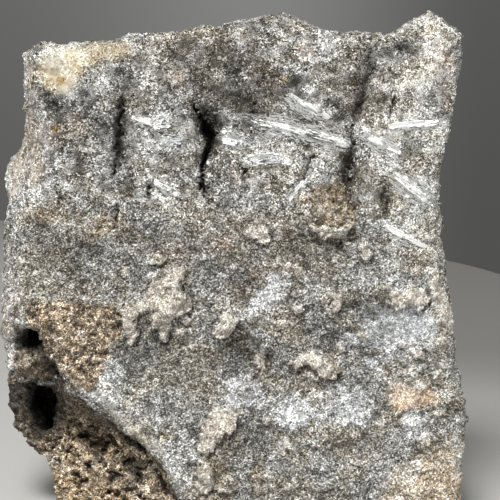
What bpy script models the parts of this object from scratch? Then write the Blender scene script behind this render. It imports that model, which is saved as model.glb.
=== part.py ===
"""Native tellurium specimen: a block of grey quartz rock that carries bundles of flat tellurium blades.

The specimen stands on the flat z = 0, with the origin in the middle of its box there. The front of the
rock faces -Y. It is modelled with its front near the plane y = 0, and set back to the origin at the end.
"""

import math

import bmesh
import bpy
import numpy as np
from mathutils import Matrix, Vector, noise

MM = 0.001

# Driving dimensions
ROCK_DEPTH = 31.0 * MM
FRONT_TO_ORIGIN = 15.0 * MM
ROCK_TRIANGLES = 8300
REMESH_CELL = 0.52 * MM
SEAT_GAP = 0.3 * MM
SEAT_MARGIN = 0.36 * MM
SEAT_REACH = 4.0 * MM
BLADE_STEP = 0.05 * MM
BLADE_WELD = 0.03 * MM
BLADE_THICKNESS = 0.8 * MM
BLADE_PROUD = 0.35 * MM
RELIEF_REACH = 15.0 * MM
FACET_SIZE = 9.5

# Outline of the rock as seen from the front, in millimetres (x, z), clockwise from the top left corner
TOP_EDGE = [
    (-23.3, 52.9), (-21.9, 53.1), (-20.6, 53.7), (-18.0, 53.4), (-13.4, 53.8), (-12.4, 54.3), (-9.9, 54.3),
    (-7.1, 54.9), (-0.4, 55.7), (3.6, 56.4), (5.3, 56.4), (7.4, 56.0), (8.8, 55.1), (11.6, 54.4), (13.2, 54.7),
    (16.9, 54.3), (18.6, 55.6), (20.4, 55.9), (21.3, 56.9), (22.9, 57.0), (23.6, 55.7), (25.2, 55.2),
]
RIGHT_EDGE = [
    (25.6, 53.2), (25.0, 50.6), (24.5, 47.1), (24.1, 43.9), (23.4, 42.0), (22.8, 38.8), (23.1, 37.4),
    (22.5, 35.3), (23.2, 32.5), (23.7, 29.4), (24.4, 25.0), (24.8, 20.8), (25.2, 17.1), (26.3, 12.4),
    (26.1, 9.2), (26.0, 5.4), (25.8, 0.0), (25.4, -1.4),
]
LEFT_EDGE = [
    (-19.9, -1.4), (-20.0, 0.0), (-20.4, 3.2), (-20.9, 4.4), (-21.8, 5.7), (-22.9, 6.9), (-24.8, 8.1),
    (-26.0, 9.3), (-26.3, 10.6), (-26.3, 12.0), (-26.2, 13.2), (-26.0, 14.4), (-25.2, 15.8), (-25.4, 17.4),
    (-26.0, 18.8), (-26.4, 20.0), (-26.4, 31.5), (-26.1, 33.5), (-26.1, 35.4), (-26.5, 37.2), (-26.6, 39.2),
    (-26.3, 40.3), (-25.3, 41.2), (-24.2, 42.0), (-23.6, 43.4), (-23.6, 46.0), (-23.4, 48.5), (-23.5, 51.8),
]

# Fracture planes that shape the hidden sides: a point on each in millimetres, and its outward direction
FRACTURES = {
    "back_upper": ((0.0, 28.5, 22.0), (0.06, 0.94, 0.30)),
    "back_left": ((-19.5, 26.0, 24.0), (-0.58, 0.81, 0.06)),
    "back_right": ((20.5, 23.5, 26.0), (0.66, 0.74, -0.10)),
    "back_foot": ((4.0, 29.5, 6.0), (0.12, 0.84, -0.52)),
    "top_rear": ((0.0, 12.0, 54.0), (-0.12, 0.50, 0.86)),
    "top_left_rear": ((-17.0, 17.0, 49.0), (-0.42, 0.48, 0.77)),
    "left_rear": ((-24.0, 14.0, 34.0), (-0.95, 0.28, 0.16)),
    "left_foot": ((-24.0, 14.0, 10.0), (-0.84, 0.24, -0.48)),
    "right_rear": ((25.2, 13.0, 44.0), (0.90, 0.30, 0.32)),
    "right_foot": ((24.6, 15.0, 8.0), (0.93, 0.22, -0.29)),
}

# The broken corner at the lower left, drawn from the front in millimetres
RIM = [
    (-23.6, 23.6), (-22.4, 21.8), (-20.9, 19.8), (-19.2, 18.6), (-19.0, 17.6), (-17.5, 15.7), (-15.8, 14.8),
    (-14.6, 13.7), (-12.3, 11.1), (-9.5, 8.6), (-8.2, 8.0), (-7.5, 6.8), (-7.1, 5.4), (-6.5, 4.1), (-5.2, 2.0),
    (-4.6, -2.0),
]
RECESS_LEAD = 0.6 * MM
RECESS_FOOT_DEPTH = 0.9 * MM
RECESS_DEPTH_PER_HEIGHT = 0.38
RIM_SLOPE = (-0.46, -0.58)
SIDE_WALL = [(-30.0, 17.0), (-24.8, 16.8), (-24.3, 18.4), (-24.1, 20.8), (-24.0, 23.8), (-30.0, 24.4)]
INNER_BLOCK = [
    (-27.5, 18.6), (-24.2, 19.2), (-22.4, 19.5), (-20.8, 18.6), (-20.1, 17.2), (-20.1, 15.4), (-20.6, 14.9),
    (-22.4, 14.8), (-24.3, 15.5), (-27.5, 16.2),
]
INNER_BLOCK_DEPTH = 2.6 * MM
INNER_SHOULDER = [(-27.5, 19.6), (-23.6, 19.2), (-23.3, 17.0), (-23.7, 15.4), (-27.5, 15.6)]
INNER_SHOULDER_DEPTH = 1.0 * MM
UPPER_HOLLOW = [
    (-23.9, 19.0), (-23.6, 21.2), (-23.0, 22.5), (-22.4, 21.9), (-21.4, 20.3), (-20.0, 18.8), (-19.3, 17.0),
    (-19.5, 15.4), (-20.2, 15.4), (-20.3, 17.4), (-21.2, 18.9), (-22.6, 19.5),
]
UPPER_HOLLOW_DEPTH = 10.0 * MM
LOWER_HOLLOW = [
    (-23.6, 14.7), (-20.6, 14.6), (-20.3, 12.0), (-20.7, 9.0), (-21.8, 8.2), (-22.9, 9.4), (-23.7, 12.4),
]
LOWER_HOLLOW_DEPTH = 12.0 * MM

# Steep clefts in the upper face: depth in millimetres, then the route as (x, z, half width)
CLEFTS = {
    "black_cleft": (4.0, [(-4.2, 46.4, 0.3), (-3.5, 44.7, 0.7), (-2.6, 43.1, 1.0), (-2.5, 42.1, 0.9),
                          (-3.2, 40.9, 0.6), (-3.4, 39.2, 0.55), (-3.2, 37.0, 0.3)]),
    "black_cleft_wall": (2.0, [(-2.6, 46.4, 0.7), (-2.0, 44.4, 1.2), (-2.1, 42.6, 0.8)]),
    "left_cleft": (2.0, [(-12.2, 47.3, 0.5), (-12.3, 45.3, 0.65), (-12.6, 42.7, 0.7), (-12.7, 40.8, 0.5),
                         (-13.1, 39.2, 0.4)]),
    "blade_end_cleft": (1.4, [(2.3, 46.6, 0.4), (1.9, 44.4, 0.55), (2.0, 42.4, 0.4)]),
    "short_cleft": (1.3, [(0.9, 40.2, 0.5), (1.2, 38.8, 0.55), (1.3, 37.0, 0.35)]),
    "long_groove_upper": (2.2, [(14.4, 52.2, 0.5), (14.9, 49.9, 1.1), (14.4, 47.8, 1.3), (13.7, 46.0, 1.1),
                                (13.0, 44.6, 0.5)]),
    "long_groove_lower": (2.6, [(12.9, 42.2, 0.5), (12.8, 41.2, 1.0), (12.4, 39.7, 1.2), (12.6, 37.6, 1.0),
                                (13.0, 35.2, 0.4)]),
    "right_crack": (1.1, [(17.6, 47.6, 0.4), (17.2, 46.2, 0.6), (16.7, 45.2, 0.4)]),
    "right_notch": (1.3, [(16.6, 38.3, 0.4), (16.3, 36.7, 0.7), (17.0, 34.9, 0.6)]),
    "corner_trough": (0.9, [(-20.2, 49.0, 0.8), (-19.6, 46.6, 1.0), (-18.9, 44.0, 0.8)]),
    "thin_crack": (0.8, [(8.9, 41.4, 0.35), (8.0, 39.7, 0.45), (7.2, 38.3, 0.3)]),
}

# Low swellings and hollows of the front face: centre (x, z), radii (x, z) and height out of the face, mm
SWELLINGS = {
    "between_clefts": ((-7.6, 43.0), (4.0, 5.0), 0.9),
    "crown": ((3.5, 52.0), (5.5, 4.5), 1.1),
    "below_blades": ((5.0, 39.6), (5.0, 3.2), 0.6),
    "right_shoulder": ((19.6, 48.6), (3.4, 5.0), 0.8),
    "brown_ledge": ((9.6, 35.4), (3.0, 2.6), 0.9),
    "white_boss": ((15.6, 26.0), (4.0, 3.6), 0.7),
    "foot_boss": ((12.5, 10.0), (7.0, 5.5), 0.6),
    "rim_boss": ((-9.0, 14.5), (4.5, 3.5), 0.5),
    "saddle": ((-13.5, 29.5), (9.0, 6.0), -0.6),
    "dark_bay": ((2.0, 18.0), (4.5, 5.0), -0.7),
}

# Chips of crust that stand on the lower face: height in millimetres, then the route as (x, z, half width)
CRUSTS = {
    "curled_crust": (0.7, [(-11.0, 23.2, 1.1), (-8.3, 24.4, 1.2), (-6.0, 26.4, 1.5), (-5.2, 28.6, 0.8)]),
    "curled_crust_tail": (0.6, [(-7.0, 25.0, 1.0), (-6.8, 22.8, 1.0), (-6.2, 20.9, 0.5)]),
    "small_chip": (0.6, [(-1.4, 22.6, 0.8), (0.4, 21.8, 0.7)]),
    "white_chip": (0.6, [(9.7, 24.4, 0.7), (11.3, 24.0, 0.8)]),
    "crescent_chip": (0.7, [(6.6, 17.4, 0.7), (9.0, 18.4, 0.9), (11.2, 17.4, 0.7)]),
    "foot_chip": (0.7, [(-1.0, 11.6, 1.2), (-2.6, 8.2, 1.5), (-3.2, 5.4, 1.2)]),
    "right_edge_chip": (0.6, [(22.0, 27.0, 0.9), (22.9, 23.6, 0.8)]),
}

# Bundles of tellurium blades: centre (x, z), length, width in millimetres, slope in degrees, blade count
BLADE_BUNDLES = {
    "tellurium_blades_main": ((7.6, 43.9), 10.6, 1.7, -13.0, 5),
    "tellurium_blades_upper": ((8.3, 46.6), 5.2, 1.1, -32.0, 3),
    "tellurium_blades_cleft_side": ((-0.1, 42.8), 2.8, 1.2, -9.0, 3),
    "tellurium_blades_left_high": ((-9.5, 44.8), 3.2, 0.9, -15.0, 2),
    "tellurium_blades_left_low": ((-7.4, 37.6), 3.0, 0.9, -28.0, 2),
    "tellurium_blades_fan": ((16.2, 42.6), 4.4, 1.3, -25.0, 4),
    "tellurium_blades_right_high": ((19.5, 44.6), 5.4, 0.8, 6.0, 2),
    "tellurium_blades_right_low": ((19.3, 37.9), 4.8, 1.6, -38.0, 4),
    "tellurium_blades_right_streak": ((18.6, 32.0), 5.4, 0.8, -27.0, 2),
    "tellurium_needle": ((6.6, 37.4), 2.8, 0.55, 46.0, 1),
}

ROCK_COLOUR = (0.29, 0.275, 0.245)
TELLURIUM_COLOUR = (0.74, 0.75, 0.74)


def clear_scene():
    """Remove whatever the scene holds."""
    for existing in list(bpy.data.objects):
        bpy.data.objects.remove(existing, do_unlink=True)


def new_collection(name):
    """Link a new collection to the scene."""
    collection = bpy.data.collections.new(name)
    bpy.context.scene.collection.children.link(collection)
    return collection


def principled(name, colour, roughness, metallic):
    """One Principled material."""
    material = bpy.data.materials.new(name)
    material.use_nodes = True
    shader = material.node_tree.nodes["Principled BSDF"]
    shader.inputs["Base Color"].default_value = (*colour, 1.0)
    shader.inputs["Roughness"].default_value = roughness
    shader.inputs["Metallic"].default_value = metallic
    return material


def mesh_object(name, mesh, collection):
    """An object for a mesh that is already in its place."""
    made = bpy.data.objects.new(name, mesh)
    collection.objects.link(made)
    return made


def mark_as_cutter(cutter):
    """A tool body that is shown as wire and never rendered."""
    cutter.hide_render = True
    cutter.display_type = "WIRE"


def evaluated_mesh(source):
    """The mesh that an object's modifiers or curve make, in world space."""
    depsgraph = bpy.context.evaluated_depsgraph_get()
    depsgraph.update()
    mesh = bpy.data.meshes.new_from_object(source.evaluated_get(depsgraph))
    mesh.transform(source.matrix_world)
    return mesh


def outline_prism(name, outline, near_y, far_y, collection):
    """A closed prism along Y whose front view is an outline of (x, z) points in millimetres."""
    curve = bpy.data.curves.new(name, "CURVE")
    curve.dimensions = "2D"
    curve.fill_mode = "BOTH"
    curve.extrude = (far_y - near_y) / 2
    spline = curve.splines.new("POLY")
    spline.points.add(len(outline) - 1)
    for point, (x, z) in zip(spline.points, outline):
        point.co = (x * MM, z * MM, 0.0, 1.0)
    spline.use_cyclic_u = True
    drawn = bpy.data.objects.new(name + "_outline", curve)
    drawn.rotation_euler = (math.pi / 2, 0.0, 0.0)
    drawn.location = (0.0, (near_y + far_y) / 2, 0.0)
    collection.objects.link(drawn)
    bpy.context.view_layer.update()
    mesh = evaluated_mesh(drawn)
    bpy.data.objects.remove(drawn, do_unlink=True)
    weld(mesh)
    return mesh_object(name, mesh, collection)


def weld(mesh, reach=0.001 * MM):
    """Merge a mesh's points that lie within reach of one another and turn its faces outwards."""
    work = bmesh.new()
    work.from_mesh(mesh)
    bmesh.ops.remove_doubles(work, verts=work.verts, dist=reach)
    bmesh.ops.dissolve_degenerate(work, edges=work.edges, dist=reach)
    bmesh.ops.recalc_face_normals(work, faces=work.faces)
    work.to_mesh(mesh)
    work.free()


def triangulate(mesh):
    """Split a mesh's faces into triangles."""
    work = bmesh.new()
    work.from_mesh(mesh)
    bmesh.ops.triangulate(work, faces=work.faces, quad_method="BEAUTY", ngon_method="BEAUTY")
    work.to_mesh(mesh)
    work.free()


def combine(target, tool, operation):
    """Join or cut a target with a tool body by an exact Boolean."""
    modifier = target.modifiers.new(tool.name, "BOOLEAN")
    modifier.operation = operation
    modifier.solver = "EXACT"
    modifier.object = tool
    mark_as_cutter(tool)


def settle(target, collection):
    """Replace an object by a plain mesh object of the same name with its modifiers applied."""
    name = target.name
    mesh = evaluated_mesh(target)
    bpy.data.objects.remove(target, do_unlink=True)
    return mesh_object(name, mesh, collection)


def fracture_cutter(name, point, direction, collection):
    """A large cube whose one face lies on a fracture plane."""
    side = 120.0 * MM
    mesh = bpy.data.meshes.new(name)
    work = bmesh.new()
    bmesh.ops.create_cube(work, size=side)
    outward = Vector(direction).normalized()
    turn = outward.to_track_quat("Z", "Y").to_matrix().to_4x4()
    centre = Vector(point) * MM + outward * side / 2
    bmesh.ops.transform(work, matrix=Matrix.Translation(centre) @ turn, verts=work.verts)
    work.to_mesh(mesh)
    work.free()
    return mesh_object(name, mesh, collection)


def slant_recess(cutter):
    """Slope a recess cutter's back forwards at its foot, and let its wall slope away from the rim."""
    for vertex in cutter.data.vertices:
        if vertex.co.y > 0.0:
            height = max(vertex.co.z, 0.0)
            vertex.co.y = RECESS_FOOT_DEPTH + RECESS_DEPTH_PER_HEIGHT * height
            vertex.co.x += RIM_SLOPE[0] * vertex.co.y
            vertex.co.z += RIM_SLOPE[1] * vertex.co.y


def smooth_step(low, high, value):
    """Rise smoothly from 0 at low to 1 at high."""
    share = np.clip((value - low) / (high - low), 0.0, 1.0)
    return share * share * (3.0 - 2.0 * share)


def route_profile(x, z, route):
    """For points on the face, 1 on a route's middle line and 0 outside its half width."""
    profile = np.zeros(len(x))
    for (x0, z0, w0), (x1, z1, w1) in zip(route, route[1:]):
        span = np.array([x1 - x0, z1 - z0])
        along = np.clip(((x - x0) * span[0] + (z - z0) * span[1]) / span.dot(span), 0.0, 1.0)
        distance = np.hypot(x - x0 - along * span[0], z - z0 - along * span[1])
        half_width = w0 + along * (w1 - w0)
        profile = np.maximum(profile, np.clip(1.0 - distance / half_width, 0.0, 1.0))
    return profile


def undulation(x, z):
    """Broad waves of the front face, in millimetres into the rock."""
    broad = [noise.noise(Vector((a / 9.0, 3.7, b / 11.0))) for a, b in zip(x, z)]
    small = [noise.noise(Vector((a / 3.2, 8.1, b / 3.6))) for a, b in zip(x, z)]
    return 0.85 * np.array(broad) + 0.34 * np.array(small)


def face_swell(x, z):
    """The low swellings, in millimetres into the rock."""
    depth = np.zeros(len(x))
    for (cx, cz), (rx, rz), height in SWELLINGS.values():
        reach = ((x - cx) / rx) ** 2 + ((z - cz) / rz) ** 2
        depth -= height * np.exp(-1.6 * reach)
    return depth


def shoulder_depth(x, z):
    """The turned left side, the worn crest and the broken right arris, in millimetres into the rock."""
    ridge = np.interp(z, [0.0, 15.5, 19.5, 24.0, 33.0, 40.7, 51.2], [-27.0, -27.0, -24.0, -23.2, -22.6, -19.8, -21.4])
    crest = np.interp(x, [-23.0, -12.0, -5.0, 4.0, 12.0, 24.0], [52.3, 53.0, 54.3, 55.6, 53.8, 54.6])
    arris = np.interp(z, [0.0, 12.0, 20.0, 30.0, 36.0, 44.0, 54.0], [24.4, 25.0, 23.3, 22.0, 21.9, 23.2, 24.2])
    left = 1.35 * np.clip(ridge - x, 0.0, None)
    top = 1.6 * np.clip(z - crest, 0.0, None)
    right = 1.3 * np.clip(x - arris, 0.0, None)
    return left + top + right


def front_depth(x, z):
    """How far the front face lies behind y = 0 at (x, z), all in millimetres."""
    depth = undulation(x, z) + face_swell(x, z) + shoulder_depth(x, z)
    for deepest, route in CLEFTS.values():
        depth += deepest * route_profile(x, z, route) ** 0.8
    for height, route in CRUSTS.values():
        depth -= height * smooth_step(0.0, 0.45, route_profile(x, z, route))
    return depth


def broken_surface(place):
    """Facets and steps of a broken side at a place in millimetres, in millimetres outwards."""
    _, features = noise.voronoi(place / FACET_SIZE)
    cell = Vector(features[0])
    tilt = noise.cell_vector(cell * 7.3)
    facet = (place / FACET_SIZE - cell).dot(tilt) * 1.9
    ripple = noise.fractal(place / 4.0, 0.9, 2.1, 3) * 0.4
    return min(facet + ripple - 0.5, 0.3)


def carve_surface(rock):
    """Press the front relief into the face, and break up the sides, the top and the back."""
    mesh = rock.data
    count = len(mesh.vertices)
    places = np.empty(count * 3)
    mesh.vertices.foreach_get("co", places)
    places = places.reshape(count, 3)
    outward = np.array([vertex.normal[:] for vertex in mesh.vertices])
    rough = np.array([broken_surface(Vector(place / MM)) for place in places])
    facing_front = smooth_step(0.2, 0.7, -outward[:, 1])
    broken = (1.0 - facing_front) * smooth_step(2.0, 8.0, places[:, 1] / MM)
    depth = front_depth(places[:, 0] / MM, places[:, 2] / MM)
    near_front = 1.0 - smooth_step(0.0, RELIEF_REACH, places[:, 1])
    sunk = facing_front * smooth_step(1.2, 2.6, places[:, 1] / MM)
    lumps = np.array([noise.fractal(Vector(place / MM) / 2.6, 0.8, 2.1, 3) for place in places])
    places[:, 1] += (near_front * depth + sunk * 0.75 * lumps) * MM
    places += outward * (broken * rough * MM)[:, None]
    mesh.vertices.foreach_set("co", places.ravel())
    mesh.update()


def remesh(rock, cell):
    """Even out a rock's faces with a voxel remesh."""
    modifier = rock.modifiers.new("even_faces", "REMESH")
    modifier.mode = "VOXEL"
    modifier.voxel_size = cell


def thin_out(rock, triangles):
    """Collapse a rock's faces to about the given number of triangles."""
    triangle_count = sum(len(face.vertices) - 2 for face in rock.data.polygons)
    modifier = rock.modifiers.new("thin_out", "DECIMATE")
    modifier.ratio = triangles / triangle_count


def drop_loose_chips(mesh):
    """Keep the largest body of a mesh and drop the crumbs that a remesh can leave."""
    work = bmesh.new()
    work.from_mesh(mesh)
    unseen = set(work.verts)
    bodies = []
    while unseen:
        body = set()
        queue = [unseen.pop()]
        while queue:
            vertex = queue.pop()
            body.add(vertex)
            for edge in vertex.link_edges:
                neighbour = edge.other_vert(vertex)
                if neighbour in unseen:
                    unseen.discard(neighbour)
                    queue.append(neighbour)
        bodies.append(body)
    largest = max(bodies, key=len)
    crumbs = [vertex for body in bodies if body is not largest for vertex in body]
    bmesh.ops.delete(work, geom=crumbs, context="VERTS")
    work.to_mesh(mesh)
    work.free()


def bundle_place(centre, length, slope):
    """Bundle space to the world: X along the blades, Y into the rock, Z across the blades."""
    angle = math.radians(slope)
    along = 0.4 * length * np.array([-1.0, 0.0, 1.0])
    x = centre[0] + along * math.cos(angle)
    z = centre[1] + along * math.sin(angle)
    level = undulation(x, z) + face_swell(x, z)
    lean = math.atan2(level[2] - level[0], along[2] - along[0])
    move = Matrix.Translation((centre[0] * MM, level.mean() * MM, centre[1] * MM))
    return move @ Matrix.Rotation(-angle, 4, "Y") @ Matrix.Rotation(lean, 4, "Z")


def blade_layout(name, length, width, count):
    """For each blade of a bundle: its length, width, shift along, place across and set-back, in metres."""
    spacing = width * MM / count
    for index in range(count):
        swing = 0.5 + 0.5 * math.sin(2.4 * index + len(name))
        blade_length = length * MM * (1.0 - (0.26 * swing if count > 1 else 0.0))
        shift = (length * MM - blade_length) / 2 * (-1) ** index
        across = (index - (count - 1) / 2) * spacing * 0.86
        set_back = 0.14 * MM * (0.5 + 0.5 * math.cos(1.9 * index + 0.6))
        yield blade_length, spacing * (1.12 + 0.3 * swing), shift, across, set_back


def block_between(name, length, width, near_y, far_y, shift, across, front_share, place, collection):
    """A flat bar in bundle space with slanting ends, whose front may be narrower than its back."""
    mesh = bpy.data.meshes.new(name)
    work = bmesh.new()
    bmesh.ops.create_cube(work, size=1.0)
    bmesh.ops.scale(work, vec=(length, far_y - near_y, width), verts=work.verts)
    for vertex in work.verts:
        if vertex.co.y < 0.0:
            vertex.co.z *= front_share
            vertex.co.x *= 1.0 - (1.0 - front_share) * width / length
        slant = 0.55 if vertex.co.x > 0.0 else -0.35
        vertex.co.x -= slant * vertex.co.z
    bmesh.ops.translate(work, vec=(shift, (near_y + far_y) / 2, across), verts=work.verts)
    bmesh.ops.transform(work, matrix=place, verts=work.verts)
    work.to_mesh(mesh)
    work.free()
    return mesh_object(name, mesh, collection)


def seat_imprint(name, centre, length, width, slope, count, tools):
    """The imprint that a bundle of blades lies in, clear of the blades all round and open to the front."""
    place = bundle_place(centre, length, slope)
    imprint = None
    for index, layout in enumerate(blade_layout(name, length, width, count)):
        blade_length, blade_width, shift, across, _ = layout
        grown = (blade_length + 2.6 * SEAT_MARGIN, blade_width + 2 * SEAT_MARGIN)
        step = BLADE_STEP * index
        floor = BLADE_THICKNESS - BLADE_PROUD + SEAT_GAP + step
        made = block_between(
            f"{name}_seat_{index}", *grown, -SEAT_REACH - step, floor, shift, across, 1.0, place, tools)
        if imprint is None:
            imprint = made
        else:
            combine(imprint, made, "UNION")
    imprint = settle(imprint, tools)
    weld(imprint.data)
    return imprint


def build_bundle(name, centre, length, width, slope, count, parts, tools):
    """A bundle of blades that have grown side by side into one another."""
    place = bundle_place(centre, length, slope)
    bundle = None
    for index, layout in enumerate(blade_layout(name, length, width, count)):
        blade_length, blade_width, shift, across, set_back = layout
        front = set_back - BLADE_PROUD
        back = BLADE_THICKNESS - BLADE_PROUD + BLADE_STEP * index
        made = block_between(
            f"{name}_{index}", blade_length, blade_width, front, back, shift, across, 0.62, place, tools)
        if bundle is None:
            bundle = made
        else:
            combine(bundle, made, "UNION")
    bundle.name = name
    bundle = settle(bundle, parts)
    weld(bundle.data, BLADE_WELD)
    triangulate(bundle.data)
    bundle.data.materials.append(principled(name + "_metal", TELLURIUM_COLOUR, 0.32, 1.0))
    return bundle


def build_rock(parts, tools):
    """The block of quartz rock with its clefts, its broken corner and the blade seats."""
    outline = TOP_EDGE + RIGHT_EDGE + LEFT_EDGE
    rock = outline_prism("host_rock", outline, 0.0, ROCK_DEPTH, tools)
    for name, (point, direction) in FRACTURES.items():
        combine(rock, fracture_cutter(name, point, direction, tools), "DIFFERENCE")
    recess = outline_prism("recess", RIM + [(-30.0, -2.0), (-30.0, 23.6)], -RECESS_LEAD, 3.0 * MM, tools)
    slant_recess(recess)
    for name, kept, depth in (
        ("side_wall", SIDE_WALL, -2 * RECESS_LEAD),
        ("inner_block", INNER_BLOCK, INNER_BLOCK_DEPTH),
        ("inner_shoulder", INNER_SHOULDER, INNER_SHOULDER_DEPTH),
    ):
        combine(recess, outline_prism(name, kept, depth, ROCK_DEPTH, tools), "DIFFERENCE")
    combine(rock, recess, "DIFFERENCE")
    for name, hollow, depth in (
        ("upper_hollow", UPPER_HOLLOW, UPPER_HOLLOW_DEPTH),
        ("lower_hollow", LOWER_HOLLOW, LOWER_HOLLOW_DEPTH),
    ):
        combine(rock, outline_prism(name, hollow, -3.0 * MM, depth, tools), "DIFFERENCE")
    remesh(rock, REMESH_CELL)
    rock = settle(rock, tools)
    carve_surface(rock)
    remesh(rock, REMESH_CELL)
    rock = settle(rock, tools)
    drop_loose_chips(rock.data)
    thin_out(rock, ROCK_TRIANGLES)
    rock = settle(rock, tools)
    combine(rock, fracture_cutter("resting_face", (0.0, 0.0, 0.0), (0.0, 0.0, -1.0), tools), "DIFFERENCE")
    for name, shape in BLADE_BUNDLES.items():
        combine(rock, seat_imprint(name, *shape, tools), "DIFFERENCE")
    rock = settle(rock, parts)
    drop_loose_chips(rock.data)
    rock.data.materials.append(principled("host_rock_quartz", ROCK_COLOUR, 0.78, 0.0))
    return rock


def main():
    """Model the specimen."""
    clear_scene()
    parts = new_collection("native_tellurium_specimen")
    tools = new_collection("cutters")
    build_rock(parts, tools)
    for name, shape in BLADE_BUNDLES.items():
        build_bundle(name, *shape, parts, tools)
    for made in parts.objects:
        made.data.transform(Matrix.Translation((0.0, -FRONT_TO_ORIGIN, 0.0)))


main()
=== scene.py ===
"""Dresses the native tellurium specimen: grained quartz rock with crusts, stains and striated blades."""

import math

import bmesh
import bpy
import numpy as np
from bpy.props import FloatProperty, FloatVectorProperty, IntProperty, PointerProperty
from mathutils import Matrix, Vector, noise


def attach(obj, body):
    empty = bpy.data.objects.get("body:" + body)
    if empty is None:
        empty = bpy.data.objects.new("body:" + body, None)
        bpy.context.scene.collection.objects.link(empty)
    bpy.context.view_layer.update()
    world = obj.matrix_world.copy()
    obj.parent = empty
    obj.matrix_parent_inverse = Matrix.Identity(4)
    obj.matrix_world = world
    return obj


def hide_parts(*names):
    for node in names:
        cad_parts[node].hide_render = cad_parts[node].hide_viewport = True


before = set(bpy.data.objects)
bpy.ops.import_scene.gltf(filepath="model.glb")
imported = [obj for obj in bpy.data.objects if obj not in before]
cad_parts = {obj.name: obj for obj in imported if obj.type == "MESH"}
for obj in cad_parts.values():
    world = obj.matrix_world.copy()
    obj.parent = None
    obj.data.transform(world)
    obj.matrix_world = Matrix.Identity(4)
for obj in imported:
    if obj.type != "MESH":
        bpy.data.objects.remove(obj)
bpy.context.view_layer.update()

bl_info = {
    "name": "Native Tellurium Specimen",
    "version": (1, 0, 0),
    "blender": (4, 5, 0),
    "location": "View3D > Sidebar > Specimen",
    "description": "Builds a quartz rock specimen with tellurium blades around its packed solids",
    "category": "Object",
}

MM = 0.001
FACE_Y = -15.0  # the face's level, in millimetres
FINE_DEPTH = 11.0  # how far behind the face the fine cells reach, in millimetres
FINE_FACING = -0.27  # cells whose outward direction has a lower y than this are made fine
SAME_PLACE = 0.002 * MM  # corners of the solid that lie nearer to each other than this become one
FEWEST_BLADES = 8  # thin blades in the narrowest bundle
SEED_STEP = 11  # between the random seeds of two bundles
BODY = "root"
ROCK_NODE = "host_rock"
ROCK_SLOT = "quartz_rock"
TELLURIUM_SLOT = "tellurium"
BUNDLES = sorted(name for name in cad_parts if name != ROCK_NODE)

# Cores of the clefts, whose bottoms get painted shade: extra depth in millimetres, then the route as (x, z,
# half width)
CLEFT_CORES = {
    "black_cleft": (2.6, [(-4.3, 46.6, 0.2), (-3.5, 44.8, 0.55), (-2.6, 43.1, 0.85), (-2.5, 42.1, 0.7),
                          (-3.2, 40.9, 0.5), (-3.4, 39.2, 0.4), (-3.2, 36.8, 0.2)]),
    "black_cleft_bay": (0.8, [(-3.1, 46.2, 0.3), (-2.4, 44.9, 0.8), (-2.0, 43.4, 0.6)]),
    "left_cleft": (1.2, [(-12.2, 47.4, 0.3), (-12.3, 45.3, 0.5), (-12.6, 42.7, 0.65), (-12.7, 40.6, 0.5),
                         (-13.2, 38.9, 0.2)]),
    "blade_end_cleft": (1.0, [(2.3, 46.7, 0.25), (1.9, 44.4, 0.32), (2.0, 42.4, 0.25)]),
    "short_cleft": (1.1, [(0.9, 40.2, 0.3), (1.2, 38.8, 0.36), (1.3, 36.9, 0.2)]),
    "groove_top": (0.45, [(14.5, 52.0, 0.4), (15.1, 50.3, 0.9), (14.4, 49.0, 0.6), (14.5, 47.4, 1.0),
                          (13.6, 46.0, 0.8), (13.0, 44.2, 0.35)]),
    "groove_neck": (1.0, [(13.0, 44.4, 0.25), (12.9, 43.2, 0.3), (12.9, 42.0, 0.3)]),
    "groove_foot": (0.95, [(12.9, 42.0, 0.4), (12.7, 40.6, 0.7), (12.3, 39.3, 0.8), (12.6, 37.4, 0.7),
                          (13.1, 35.0, 0.3)]),
    "right_crack": (0.8, [(17.6, 47.6, 0.25), (17.2, 46.2, 0.35), (16.7, 45.2, 0.25)]),
    "right_notch": (0.5, [(16.7, 38.6, 0.2), (16.5, 36.7, 0.3), (16.8, 34.6, 0.3)]),
    "strip_edge": (0.35, [(-21.5, 50.2, 0.3), (-21.1, 48.2, 0.35), (-20.2, 46.0, 0.35), (-19.5, 44.2, 0.35),
                          (-19.5, 41.8, 0.3), (-20.2, 39.8, 0.2)]),
    "corner_trough": (0.45, [(-20.2, 47.6, 0.5), (-19.7, 46.4, 1.0), (-19.2, 45.2, 1.0), (-19.1, 44.3, 0.6)]),
    "low_left_crack": (0.9, [(-9.5, 37.9, 0.2), (-9.4, 36.5, 0.25)]),
    "left_wall_crack": (0.8, [(-12.9, 35.7, 0.2), (-12.8, 34.5, 0.28), (-13.2, 33.2, 0.25)]),
    "corner_crack": (0.6, [(-19.1, 36.9, 0.18), (-19.2, 35.4, 0.22)]),
    "thin_crack": (0.8, [(8.9, 41.4, 0.2), (8.0, 39.7, 0.24), (7.2, 38.1, 0.18)]),
    "under_blade": (0.8, [(5.7, 44.5, 0.25), (6.8, 43.3, 0.32), (8.0, 42.1, 0.25)]),
    "ledge_shadow": (0.6, [(8.6, 32.0, 0.3), (10.8, 31.5, 0.35), (12.9, 31.9, 0.3)]),
    "foot_flake_edge": (0.25, [(-3.8, 12.2, 0.3), (-4.4, 10.4, 0.3), (-4.2, 7.6, 0.3)]),
    "bay_step": (0.5, [(3.4, 20.2, 0.3), (3.2, 17.8, 0.35), (1.9, 15.6, 0.3)]),
    "strip_pit": (0.7, [(-21.9, 49.3, 0.25), (-21.7, 48.2, 0.3)]),
}

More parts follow.
